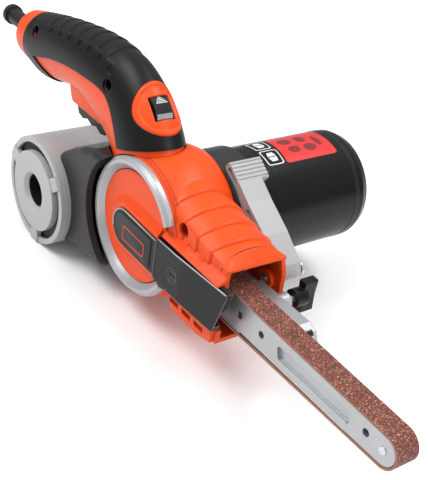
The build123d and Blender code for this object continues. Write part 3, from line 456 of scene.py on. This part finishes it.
def eased(pairs, t):
    """Smooth curve through (position, value) pairs."""
    for i in range(1, len(pairs) - 2):
        if t <= pairs[i + 1][0] or i == len(pairs) - 3:
            (t0, v0), (t1, v1) = pairs[i], pairs[i + 1]
            m0 = (v1 - pairs[i - 1][1]) / (t1 - pairs[i - 1][0])
            m1 = (pairs[i + 2][1] - v0) / (pairs[i + 2][0] - t0)
            s, span = (t - t0) / (t1 - t0), t1 - t0
            return ((2 * s ** 3 - 3 * s ** 2 + 1) * v0 + (s ** 3 - 2 * s ** 2 + s) * span * m0
                    + (-2 * s ** 3 + 3 * s ** 2) * v1 + (s ** 3 - s ** 2) * span * m1)
    return pairs[-1][1]


def grip_line(t):
    order = len(GRIP_POLES) - 1
    spot, slope = Vector((0, 0)), Vector((0, 0))
    share = min(max(t, 0.0), 1.0)
    for i, pole in enumerate(GRIP_POLES):
        spot += math.comb(order, i) * share ** i * (1 - share) ** (order - i) * Vector(pole)
    for i in range(order):
        weight = math.comb(order - 1, i) * share ** i * (1 - share) ** (order - 1 - i)
        slope += order * weight * (Vector(GRIP_POLES[i + 1]) - Vector(GRIP_POLES[i]))
    return spot + slope.normalized() * (t - share) * 100, slope.normalized()


def grip_point(t, turn, lift=0.0):
    """A point on the handle's surface; turn is 0 on top and 90 degrees on the motor side."""
    spot, way = grip_line(t)
    depth = eased(GRIP_DEPTH, t) + lift
    width = eased(GRIP_WIDTH, t) + lift
    drop = eased(GRIP_DROP, t) / 2 if t > 0.5 else 0.0
    up = (depth + drop) * math.cos(turn) - drop
    return (spot[0] + way[1] * up, width * math.sin(turn), spot[1] - way[0] * up)


RIBS = [0.705, 0.648, 0.588, 0.528, 0.466, 0.400, 0.330]
RIB_START = 0.760
RIB_HALF = math.radians(42)


def rib_lift(t, turn):
    """Overlapping ribs across the top of the grip, each ending in a small sunk square."""
    turn = abs((turn + math.pi) % (2 * math.pi) - math.pi)
    if turn > RIB_HALF + 0.24 or not RIBS[-1] <= t < RIB_START:
        return 0.0
    start = RIB_START
    for end in RIBS:
        if end <= t < start:
            break
        start = end
    share = (start - t) / (start - end)
    fade = min(1.0, max(0.0, (RIB_HALF - turn) / 0.12))
    mark = RIB_HALF + 0.02 < turn < RIB_HALF + 0.20 and 0.42 < share < 0.88
    return -0.75 * (1 - share) ** 1.5 * fade - (0.8 if mark else 0.0)


def handle_skin(name, lift, look, t0, t1, rows, columns, ribs=False, **more):
    """Closed tube of the handle's surface between two stations."""
    verts = []
    for i in range(rows):
        t = t0 + (t1 - t0) * i / (rows - 1)
        for j in range(columns):
            turn = 2 * math.pi * j / columns
            extra = 0.0
            if ribs:
                extra = rib_lift(t, turn)
            verts.append(P(*grip_point(t, turn, lift + extra)))
    faces = sheet_faces(rows, columns, False, True)
    faces += [tuple(range(columns)), tuple(range((rows - 1) * columns, rows * columns))]
    return add(name, verts, faces, look, **more)


SIDE_ZONE = [(COLLAR_X, 110), (COLLAR_X, 18), (-109, 18), (-112, 35), (-117, 41), (-125, 45.5),
             (-114, 48.8), (-103, 52.5), (-83, 56.5), (-62, 58.5), (-46, 58.5), (-37, 55), (-29, 46.5),
             (-22, 35.5), (6, 45), (40, 60), (40, 110)]
zone = (SIDE_ZONE[:2] + through(SIDE_ZONE[2:6], 5, closed=False) + through(SIDE_ZONE[5:14], 6, closed=False)
        + SIDE_ZONE[13:])


def ring_cutter():
    return turned("cutter", (0, 0), [(0.0, -40), (38.7, -40), (38.7, -14.8), (0.0, -14.8)], ORANGE,
                  body=None)


def holes(obj, left):
    """Screw recesses on the belt side, or the lock button's hole on the motor side."""
    if left:
        places = [(LOCK_BUTTON, LOCK_HOLE_R, 3, 30)]
    else:
        places = [(spot, radius, -30, SCREW_FLOOR_Y) for spot, radius in zip(GRIP_SCREWS, SCREW_HOLES_R)]
    for spot, radius, y0, y1 in places:
        cut(obj, turned("cutter", spot, [(0.0, y0), (radius, y0), (radius, y1), (0.0, y1)],
                        ORANGE, 32, body=None))
    return obj


body_tube = handle_skin("handle_shells", -1.1, ORANGE, -0.06, GRIP_END, 150, 96, slot="orange_plastic")
body_rays = tree_of(body_tube)
hood_side = rounded([(-93, 50), (-87.5, 36), (-85.5, 33), (-52, 33), (-46, 44), (-50, 52)], 3.0, 5)
hood = prism("trigger_hood", hood_side, -10.0, 10.0, ORANGE, slot="orange_plastic")
soften(hood, 2.4, 5, 50)
slot_rear, slot_front = TRIGGER_SLOT_X
cut(hood, prism("cutter", [(slot_rear, 12), (slot_front, 12), (slot_front, 46.5), (slot_rear, 46.5)],
                -TRIGGER_SLOT_HALF, TRIGGER_SLOT_HALF, BLACK, body=None))
crease(hood)
cut(body_tube, ring_cutter())
slot_outline = rounded([(slot_rear, 12), (slot_front, 12), (slot_front, 46), (slot_rear, 46)], 1)
cut(body_tube, prism("cutter", slot_outline, -TRIGGER_SLOT_HALF, TRIGGER_SLOT_HALF, BLACK, body=None))
holes(body_tube, True)
holes(body_tube, False)
cut(body_tube, prism("cutter", [(-28, 44), (-2, 46), (10, 60), (-2, 72), (-14, 78), (-28, 62)],
                     -5.8, 5.8, BLACK, body=None))
crease(body_tube)
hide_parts("handle_shell_right", "handle_shell_left")

grip = handle_skin("grip_overmould", 0.0, RUBBER, -0.04, 0.90, 460, 240, ribs=True,
                   slot="black_rubber")
cut(grip, handle_skin("cutter", -1.5, RUBBER, -0.08, 0.92, 90, 64, body=None))
cut(grip, prism("cutter", zone, -60, 60, RUBBER, body=None), "INTERSECT")
cut(grip, ring_cutter())
holes(grip, True)
holes(grip, False)
crease(grip)
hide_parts("handle_grip")

# collar at the rear end of the handle, with a rolled edge
collar = handle_skin("handle_collar", 0.0, ORANGE, 0.868, GRIP_END, 14, 96, slot="orange_plastic")
guard_hole = [(0.0, -200), (GUARD_HOLE_R, -200), (GUARD_HOLE_R, -132), (0.0, -132)]
cut(collar, turned("cutter", (0, GUARD_Z), guard_hole, BLACK, axis="X", body=None))
soften(collar, 0.8)

# ---------------------------------------------------------------- dial and its oval bezel
TILT = math.radians(45)
OUT = Vector((math.cos(TILT), 0, math.sin(TILT)))
UP = Vector((-math.sin(TILT), 0, math.cos(TILT)))
SIDE = Vector((0, 1, 0))
BEZEL = P(-10.0, 0, 62.0)
BEZEL_HALF_WIDE, BEZEL_HALF_LONG = 13.6, 15.2
WINDOW_HALF_WIDE, WINDOW_HALF_LONG = 5.9, 6.6


def on_neck(a, b, lift):
    """Point on the neck, a across and b along the bezel (mm), lifted from the surface (mm)."""
    start = BEZEL + SIDE * a / 1000 + UP * b / 1000 + OUT * 0.03
    hit, normal, _, _ = body_rays.ray_cast(start, -OUT)
    return hit + OUT * (1.1 + lift) / 1000


BEZEL_RINGS = [(0.0, -1.0), (0.0, -0.4), (0.05, 0.1), (0.15, 0.15), (0.35, 0.1), (0.55, 0.0),
               (0.64, 0.05), (0.70, 0.7), (0.78, 1.3), (0.88, 1.4), (0.96, 0.9), (1.0, 0.1), (1.0, -1.0)]
oval_count = 112
verts = []
for share, lift in BEZEL_RINGS:
    for i in range(oval_count):
        turn = 2 * math.pi * i / oval_count
        way = Vector((math.cos(turn), math.sin(turn)))
        reach = min(WINDOW_HALF_WIDE / max(abs(way[0]), 1e-6), WINDOW_HALF_LONG / max(abs(way[1]), 1e-6))
        inner, outer = way * reach, Vector((way[0] * BEZEL_HALF_WIDE, way[1] * BEZEL_HALF_LONG))
        spot = inner.lerp(outer, share)
        verts.append(on_neck(spot[0], spot[1], lift))
bezel = add("dial_surround", verts, sheet_faces(len(BEZEL_RINGS), oval_count, True, True), ORANGE,
            slot="orange_plastic")
crease(bezel, 50)
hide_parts("dial_bezel")
cutter_verts = []
for depth in (-0.02, 0.03):
    for i in range(64):
        turn = 2 * math.pi * i / 64
        cutter_verts.append(BEZEL + SIDE * 0.01355 * math.cos(turn) + UP * 0.01515 * math.sin(turn)
                            + OUT * depth)
cutter = add("cutter", cutter_verts, sheet_faces(2, 64, False, True)
             + [tuple(range(64)), tuple(range(64, 128))], ORANGE, body=None)
cut(grip, cutter)
crease(grip)

DIAL = (-17.5, 54.6)
ridges = 72
verts = []
for y in (-9.0, -5.1, -5.0, -4.6, 4.6, 5.0, 5.1, 9.0):
    for i in range(ridges * 4):
        turn = 2 * math.pi * i / (ridges * 4)
        radius = 1.4 if abs(y) > 5.05 else 10.4 if abs(y) > 4.9 else 10.95 - 0.4 * (i % 4 in (0, 1))
        verts.append(P(DIAL[0] + radius * math.cos(turn), y, DIAL[1] + radius * math.sin(turn)))
count = ridges * 4
faces = sheet_faces(8, count, False, True) + [tuple(range(count)), tuple(range(7 * count, 8 * count))]
face_look = [1 if i // count == 3 and 10 <= (i % count) * 360 / count <= 26 else 0
             for i in range(len(faces))]
dial = add("speed_wheel", verts, faces, [BLACK, DIAL_GREY], body="speed_dial", slot="black_plastic",
           face_look=face_look, smooth=False)
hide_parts("speed_dial")
for index, (angle, wide) in enumerate([(58, 3.4), (63, 2.8), (68, 2.2), (73, 1.6), (78, 1.0)]):
    turn = math.radians(angle)
    across = Vector((math.cos(turn), 0, math.sin(turn)))
    along = Vector((-math.sin(turn), 0, math.cos(turn)))
    middle = P(DIAL[0], 0, DIAL[1]) + across * 0.01098
    corners = []
    for lift in (-0.0004, 0.0):
        for a, b in ((-wide, -0.22), (wide, -0.22), (wide, 0.22), (-wide, 0.22)):
            corners.append(middle + SIDE * a / 1000 + along * b / 1000 + across * lift)
    add(f"dial_mark_{index + 1}", corners, [(0, 1, 2, 3), (7, 6, 5, 4), (0, 4, 5, 1), (1, 5, 6, 2),
                                            (2, 6, 7, 3), (3, 7, 4, 0)], PRINT, body="speed_dial",
        slot="silver_plastic", smooth=False)

# ---------------------------------------------------------------- abrasive belt
TIP_X = 1000 * JOINTS["tip_roller_spin"]["pos_m"][0] - AXIS[0]
BELT_Z = PULLEY[2]
REAR_R, TIP_R, CLOTH_HALF = 11.4, 8.2, 0.6
BELT_HALF = 6.5


def belt_line(steps):
    """Points and outward directions round the loop."""
    lean = (REAR_R - TIP_R) / (TIP_X - PULLEY[0])
    angle = math.asin(lean)
    out = []
    length = TIP_X - PULLEY[0]
    for i in range(steps):
        share = i / steps
        out.append(((PULLEY[0] + length * share, BELT_Z + REAR_R + (TIP_R - REAR_R) * share),
                    math.pi / 2 - angle))
    tip = [((TIP_X, BELT_Z), math.pi / 2 - angle - (math.pi - 2 * angle) * i / 40) for i in range(40)]
    line = [((p[0] + REAR_R * math.cos(math.pi / 2 - angle) * (1 - (p[0] - PULLEY[0]) / length)
              + TIP_R * math.cos(math.pi / 2 - angle) * (p[0] - PULLEY[0]) / length, p[1]), a)
            for p, a in out]
    line += [((c[0] + TIP_R * math.cos(a), c[1] + TIP_R * math.sin(a)), a) for c, a in tip]
    mirrored = [((p[0], 2 * BELT_Z - p[1]), -a) for p, a in reversed(line[:steps])]
    rear = [((PULLEY[0] + REAR_R * math.cos(a), BELT_Z + REAR_R * math.sin(a)), a)
            for a in [-(math.pi / 2 - angle) - (math.pi + 2 * angle) * (i + 0.5) / 44 for i in range(44)]]
    return line + mirrored + rear


belt = belt_line(420)
across = 27
verts = []
for (x, z), angle in belt:
    way = (math.cos(angle), math.sin(angle))
    for j in range(across):
        y = -BELT_HALF + 2 * BELT_HALF * j / (across - 1)
        grain = noise.noise(Vector((x * 1.6, y * 1.6, z * 1.6))) * 0.07 - 0.09
        out = CLOTH_HALF + (grain if 0 < j < across - 1 else -0.12)
        verts.append(P(x + way[0] * out, y, z + way[1] * out))
    for y, out in ((BELT_HALF, 0.25), (BELT_HALF, -CLOTH_HALF),
                   (-BELT_HALF, -CLOTH_HALF), (-BELT_HALF, 0.25)):
        verts.append(P(x + way[0] * out, y, z + way[1] * out))
ring = across + 4
faces = sheet_faces(len(belt), ring, True, True)
face_look = [0 if i % ring < across - 1 else 1 for i in range(len(faces))]
belt_piece = add("abrasive_belt", verts, faces, [GRIT, CLOTH], slot="abrasive_cloth", face_look=face_look)
crease(belt_piece, 60)
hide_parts("sanding_belt")

# ---------------------------------------------------------------- nose ribs
def nose_frame(x):
    share = (x - 14.0) / 62.0
    crown, shoulder = 36.0 - 13.5 * share, 27.0 - 8.0 * share
    return crown, shoulder


def arc_through(a, b, c, count):
    """Points on the circle through three (y, z) points."""
    ax, ay, bx, by, cx, cy = *a, *b, *c
    d = 2 * (ax * (by - cy) + bx * (cy - ay) + cx * (ay - by))
    ux = ((ax ** 2 + ay ** 2) * (by - cy) + (bx ** 2 + by ** 2) * (cy - ay)
          + (cx ** 2 + cy ** 2) * (ay - by)) / d
    uy = ((ax ** 2 + ay ** 2) * (cx - bx) + (bx ** 2 + by ** 2) * (ax - cx)
          + (cx ** 2 + cy ** 2) * (bx - ax)) / d
    radius = math.hypot(ax - ux, ay - uy)
    start, end = math.atan2(ay - uy, ax - ux), math.atan2(cy - uy, cx - ux)
    return [(ux + radius * math.cos(start + (end - start) * i / (count - 1)),
             uy + radius * math.sin(start + (end - start) * i / (count - 1))) for i in range(count)]


def nose_path(x, lift):
    """Cross-section of the nose from the belt side over the crown to the motor side, lifted."""
    crown, shoulder = nose_frame(x)
    right, left = -13.4, 25.3
    path = [(right, 11.5), (right, shoulder - 3.0), (right, shoulder - 1.0)]
    path += arc_through((right, shoulder), (9.0, crown), (left - 3.5, shoulder - 2.0), 40)
    path += [(left - 1.6, shoulder - 9.0), (left, 5.0)]
    middle = Vector((5.0, 4.0))
    out = []
    for i, spot in enumerate(path):
        before, after = Vector(path[max(i - 1, 0)]), Vector(path[min(i + 1, len(path) - 1)])
        way = (after - before).normalized()
        normal = Vector((-way[1], way[0]))
        if normal.dot(Vector(spot) - middle) < 0:
            normal = -normal
        out.append(Vector(spot) + normal * lift)
    return out


STEPS_X = [(16.0, 29.5), (29.5, 41.5), (41.5, 53.5), (53.5, 65.0)]
RECESS = (39.5, 20.0)
RECESS_R = 3.9
for index, (x0, x1) in enumerate(STEPS_X):
    profile = [(x0 - 1.0, -1.0), (x0 - 0.2, 0.05)]
    profile += [(x0 + (x1 - x0) * k / 6, 0.05 + 1.15 * (k / 6)) for k in range(1, 6)]
    profile += [(x1 - 0.5, 1.22), (x1 - 0.1, 1.05), (x1 + 0.1, 0.7), (x1 + 0.15, -1.0)]
    verts = []
    for x, lift in profile:
        for spot in nose_path(x, lift):
            bow = -3.5 * ((spot[0] - 6.0) / 19.5) ** 2
            verts.append(P(x + bow + 1.2, spot[0], spot[1]))
    columns = len(nose_path(20, 0))
    faces = sheet_faces(len(profile), columns, True, False)
    faces += [tuple(i * columns for i in range(len(profile))),
              tuple(i * columns + columns - 1 for i in range(len(profile)))]
    made = add(f"nose_rib_{index + 1}", verts, faces, ORANGE, slot="orange_plastic")
    recess = [(0.0, -40), (RECESS_R, -40), (RECESS_R, -2), (0.0, -2)]
    cut(made, turned("cutter", RECESS, recess, ORANGE, 40, body=None))
    crease(made, 45)

# dark sleeve inside the canister's dust outlet: painted shade in the bore
CANISTER = (-86.0, -21.9)
turned("outlet_painted_shade", CANISTER, [(9.70, -28.9), (9.78, -28.9), (9.78, -6.4), (9.70, -6.4)], SEAL,
       72, body="canister")

# darker orange sleeve in the screw recess in the nose's flank: painted shade in the recess
turned("recess_painted_shade", (38.6, 19.5), [(4.2, -13.0), (3.6, -13.0), (3.6, 2.0), (4.2, 2.0)], ORANGE_DARK, 40,
       slot="orange_plastic")

# brow: a slanted facet from the crown's arc down to the straight top of the front opening
arc = nose_path(71.5, 0.25)[2:43]
chord = [Vector((-13.2 + (22.5 + 13.2) * k / (len(arc) - 1), 18.6 - 0.8 * k / (len(arc) - 1)))
         for k in range(len(arc))]
verts = []
for share, drop in ((0.0, 0.0), (0.12, -0.05), (0.5, 0.0), (0.92, 0.05), (1.0, -0.4), (1.0, -1.7),
                    (0.5, -2.0), (0.0, -2.4)):
    for a, b in zip(arc, chord):
        spot = a.lerp(b, share)
        verts.append(P(71.5 + 5.0 * share, spot[0], spot[1] + drop))
faces = sheet_faces(8, len(arc), True, False)
faces += [tuple(i * len(arc) for i in range(8)), tuple(i * len(arc) + len(arc) - 1 for i in range(8))]
brow = add("nose_brow", verts, faces, ORANGE, slot="orange_plastic")
crease(brow, 30)
jamb = prism("nose_jamb_right", [(69, 6), (76.0, 8.0), (76.5, 18.4), (70, 20.5)], -13.55, -10.9, ORANGE,
             slot="orange_plastic")
soften(jamb, 0.6)
jamb = prism("nose_jamb_left", dense([(69, -2), (76.0, -1), (76.5, 9), (76.2, 17.0), (70, 17.6)], 3.0), 22.4,
             25.4, ORANGE, slot="orange_plastic")
for vert in jamb.data.vertices:
    vert.co.y -= 0.0032 * max(0.0, vert.co.z - P(0, 0, 5).z) / 0.0126
soften(jamb, 0.6)

# ledge with small feet between the nose's flank and the belt cover
ledge_section = [(-13.0, 15.5), (-14.6, 13.6), (-18.4, 11.6), (-18.8, 11.0), (-18.6, 10.7), (-13.0, 10.7)]
verts = []
for x, shrink in ((27.5, 0.4), (28.2, 0.0), (50.0, 0.0), (76.0, 0.0), (76.6, 0.4)):
    for y, z in ledge_section:
        verts.append(P(x, y + shrink if y < -13.5 else y, z - (0 if z < 11 else shrink)))
faces = sheet_faces(5, 6, False, True) + [tuple(range(6)), tuple(range(24, 30))]
ledge = add("nose_ledge", verts, faces, ORANGE, slot="orange_plastic")
crease(ledge, 30)
for index, x in enumerate((30.5, 43.0, 57.0)):
    foot = [(x - 2.6, 11.6), (x + 2.6, 11.6), (x + 1.4, 15.6), (x - 2.6, 15.6)]
    block = prism(f"nose_foot_{index + 1}", foot, -16.4, -13.2, ORANGE, slot="orange_plastic")
    for vert in block.data.vertices:
        if vert.co.z > P(0, 0, 14).z and vert.co.y < P(0, -15, 0).y:
            vert.co.y = P(0, -13.9, 0).y
    soften(block, 0.5)

# belt cover: raised face panel, plain outlined badge and thin silver beads along the upper edges as painted
# highlights
def stadium(radius, front_x, top, low):
    cx, cz = -4.5, -2.5
    arc_points = [(cx + radius * math.cos(math.radians(a)), cz + radius * math.sin(math.radians(a)))
                  for a in range(90, 271, 6)]
    return arc_points + [(front_x, low), (front_x, top)]


face = prism("cover_face", dense(stadium(8.4, 22.5, 5.3, -11.2), 3.0), -20.75, -20.1, DARK_GREY, body="door",
             slot="dark_grey_plastic")
soften(face, 0.25, 2)
border = rounded([(-3.7, -0.2), (17.2, -0.8), (17.0, -8.6), (-3.7, -8.9)], 1.6, 5)
inner = rounded([(-3.1, -0.8), (16.6, -1.4), (16.4, -8.0), (-3.1, -8.3)], 1.2, 5)
verts = [P(x, y, z) for y in (-20.9, -20.6) for ring_points in (border, inner) for x, z in ring_points]
count = len(border)
faces = []
for a, b in ((0, 1), (1, 3), (3, 2), (2, 0)):
    faces += [(a * count + i, a * count + (i + 1) % count, b * count + (i + 1) % count, b * count + i)
              for i in range(count)]
add("cover_badge_line", verts, faces, ORANGE, body="door", slot="orange_plastic", smooth=False)
# painted highlight: silver beads where the cover's upper edges catch the light
line = [P(-4.5 + 10.3 * math.cos(math.radians(a)), -20.25, -2.5 + 10.3 * math.sin(math.radians(a)))
        for a in range(200, 89, -5)] + [P(25.6, -20.25, 7.2)]
tube("cover_highlight_rear", line, 0.38, SILVER, 8, body="door", slot="silver_plastic")
line = [P(27.5, -19.95, 9.0), P(44, -19.95, 9.3), P(60, -19.1, 9.6), P(75, -18.3, 9.9), P(82.6, -17.9, 10.0)]
tube("cover_highlight_front", line, 0.38, SILVER, 8, body="door", slot="silver_plastic")

# sunk screws in the grip, in black sleeves
for index, spot in enumerate(GRIP_SCREWS):
    turned(f"screw_sleeve_{index + 1}", spot, [(3.7, -14.6), (3.1, -14.4), (3.1, -7.8), (3.7, -7.8)]
           if index else [(3.5, -12.6), (2.9, -12.4), (2.9, -7.8), (3.5, -7.8)], RUBBER, 40,
           slot="black_rubber")

# fine double seam on the round body beside the ring trim
for index, (radius, y) in enumerate(((39.0, -13.2), (39.75, -11.6))):
    seam = [P(radius * math.cos(math.radians(a)), y, radius * math.sin(math.radians(a)))
            for a in range(38, 128, 2)]
    tube(f"housing_seam_{index + 1}", seam, 0.22, ORANGE_DARK, 6, slot="orange_plastic")

# ---------------------------------------------------------------- motor label
CAN = (5.0, 2.5)
CAN_R = 31.8


def label_patch(name, outline, lift, look, slot, cells=18):
    """A thin patch on the motor can; the outline is (degrees from the top, y)."""
    outline = dense(outline, 2.0)
    middle = (sum(a for a, _ in outline) / len(outline), sum(y for _, y in outline) / len(outline))
    verts, count = [], len(outline)
    for level in (lift, lift - 0.12):
        for ringed in range(cells + 1):
            for a, y in outline:
                angle = math.radians(middle[0] + (a - middle[0]) * ringed / cells)
                radius = CAN_R + level
                verts.append(P(CAN[0] + radius * math.sin(angle), middle[1] + (y - middle[1]) * ringed
                               / cells, CAN[1] + radius * math.cos(angle)))
    faces = sheet_faces(cells + 1, count, False, True)
    start = (cells + 1) * count
    faces += [tuple(start + i for i in face) for face in sheet_faces(cells + 1, count, False, True)]
    edge = cells * count
    faces += [(edge + i, edge + (i + 1) % count, start + edge + (i + 1) % count, start + edge + i)
              for i in range(count)]
    made = add(name, verts, faces, look, slot=slot)
    return crease(made, 50)


panel_outline = rounded([(-22, 52.5), (27, 52.5), (27, 106), (-22, 106)], 3.5)
panel = label_patch("label_panel", panel_outline, 0.16, BLACK, "black_plastic")
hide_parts("rating_plate")
label_patch("label_field", rounded([(-20, 69), (25, 67), (25, 104), (-20, 104)], 3.0), 0.26, RED, "label_red")
for index, (a0, a1) in enumerate(((-19.5, 0.5), (3.0, 24.0))):
    frame_line = rounded([(a0, 54.5), (a1, 54.5), (a1, 65.5), (a0, 66.5)], 2.5)
    inner = rounded([(a0 + 1.2, 55.2), (a1 - 1.2, 55.2), (a1 - 1.2, 64.8), (a0 + 1.2, 65.8)], 2.0)
    label_patch(f"label_frame_{index + 1}", frame_line, 0.24, PRINT, "silver_plastic", 4)
    label_patch(f"label_inset_{index + 1}", inner, 0.28, BLACK, "black_plastic", 4)
    middle_a = (a0 + a1) / 2
    for side in (-1, 1):
        leaf = [(middle_a + side * 0.6, 57.4), (middle_a + side * 6.0, 58.3), (middle_a + side * 6.0, 62.3),
                (middle_a + side * 0.6, 63.2)]
        label_patch(f"label_leaf_{index + 1}_{side + 2}", leaf, 0.32, PRINT, "silver_plastic", 3)
BLOTS = [(-6, 77, 6, 4.5), (9, 78, 5, 4), (-6, 88, 6.5, 3.5), (10, 89, 5.5, 4.2), (2, 97, 9, 2.2)]
for index, (a, y, da, dy) in enumerate(BLOTS):
    blot = [(a + da * math.cos(math.radians(k)), y + dy * math.sin(math.radians(k)))
            for k in range(0, 360, 20)]
    label_patch(f"label_blot_{index + 1}", blot, 0.30, INK, "label_red", 3)
for index, y in enumerate((43.2, 109.2)):
    seam = [(31.5, y - 0.35), (31.98, y - 0.35), (31.98, y + 0.35), (31.5, y + 0.35)]
    turned(f"motor_seam_{index + 1}", CAN, seam, DARK_GREY, 120, slot="dark_grey_plastic")

# ---------------------------------------------------------------- floor, light and camera
floor_mesh = bpy.data.meshes.new("floor")
floor_mesh.from_pydata([(-6, -6, 0), (6, -6, 0), (6, 6, 0), (-6, 6, 0)], [], [(0, 1, 2, 3)])
floor = bpy.data.objects.new("floor", floor_mesh)
bpy.context.scene.collection.objects.link(floor)
pale, tree, bsdf = shader("floor_pale")
speckle = node(tree, "ShaderNodeTexNoise", Scale=3.0, Detail=2.0)
tree.links.new(mix_colour(tree, speckle.outputs["Fac"], (0.86, 0.86, 0.86, 1), (0.88, 0.88, 0.88, 1)),
               bsdf.inputs["Base Color"])
bsdf.inputs["Roughness"].default_value = 0.9
bsdf.inputs["Specular IOR Level"].default_value = 0.1
floor_mesh.materials.append(pale)

world = bpy.context.scene.world or bpy.data.worlds.new("studio")
bpy.context.scene.world = world
world.use_nodes = True
backdrop = world.node_tree.nodes["Background"]
sky = world.node_tree.nodes.new("ShaderNodeTexCoord")
height = world.node_tree.nodes.new("ShaderNodeSeparateXYZ")
world.node_tree.links.new(sky.outputs["Generated"], height.inputs[0])
level = ramp(world.node_tree, height.outputs["Z"], -0.1, 0.8)
world.node_tree.links.new(mix_colour(world.node_tree, level, (0.16, 0.16, 0.17, 1), (0.98, 0.98, 0.99, 1)),
                          backdrop.inputs["Color"])
backdrop.inputs["Strength"].default_value = 0.9


def lamp(name, place, target, size, power):
    light = bpy.data.lights.new(name, "AREA")
    light.shape = "RECTANGLE"
    light.size, light.size_y = size
    light.energy = power
    obj = bpy.data.objects.new(name, light)
    obj.location = place
    obj.rotation_euler = (Vector(target) - Vector(place)).to_track_quat("-Z", "Y").to_euler()
    bpy.context.scene.collection.objects.link(obj)
    return obj


middle = P(20, 20, 10)
lamp("key", middle + Vector((-0.35, -0.55, 0.9)), middle, (0.7, 0.5), 9.0)
lamp("top", middle + Vector((0.25, 0.35, 1.0)), middle, (0.9, 0.25), 6.0)
lamp("side", middle + Vector((1.0, 0.25, 0.45)), middle, (0.5, 0.6), 4.0)

AZ, EL, ROLL = math.radians(49.647), math.radians(31.697), math.radians(9.462)
right = Vector((math.cos(AZ), math.sin(AZ), 0))
upward = Vector((-math.sin(AZ) * math.sin(EL), math.cos(AZ) * math.sin(EL), math.cos(EL)))
back = Vector((math.sin(AZ) * math.cos(EL), -math.cos(AZ) * math.cos(EL), math.sin(EL)))
cam_x = right * math.cos(ROLL) + upward * math.sin(ROLL)
cam_y = -right * math.sin(ROLL) + upward * math.cos(ROLL)
camera = bpy.data.objects.new("camera", bpy.data.cameras.new("camera"))
bpy.context.scene.collection.objects.link(camera)
place = P(359.42, -265.75, 268.53)
camera.matrix_world = Matrix([[cam_x[i], cam_y[i], back[i], place[i]] for i in range(3)] + [[0, 0, 0, 1]])
camera.data.sensor_width = 36.0
camera.data.lens = 72.6675
camera.data.clip_start, camera.data.clip_end = 0.02, 20.0
bpy.context.scene.camera = camera
bpy.context.scene.view_settings.view_transform = "Standard"
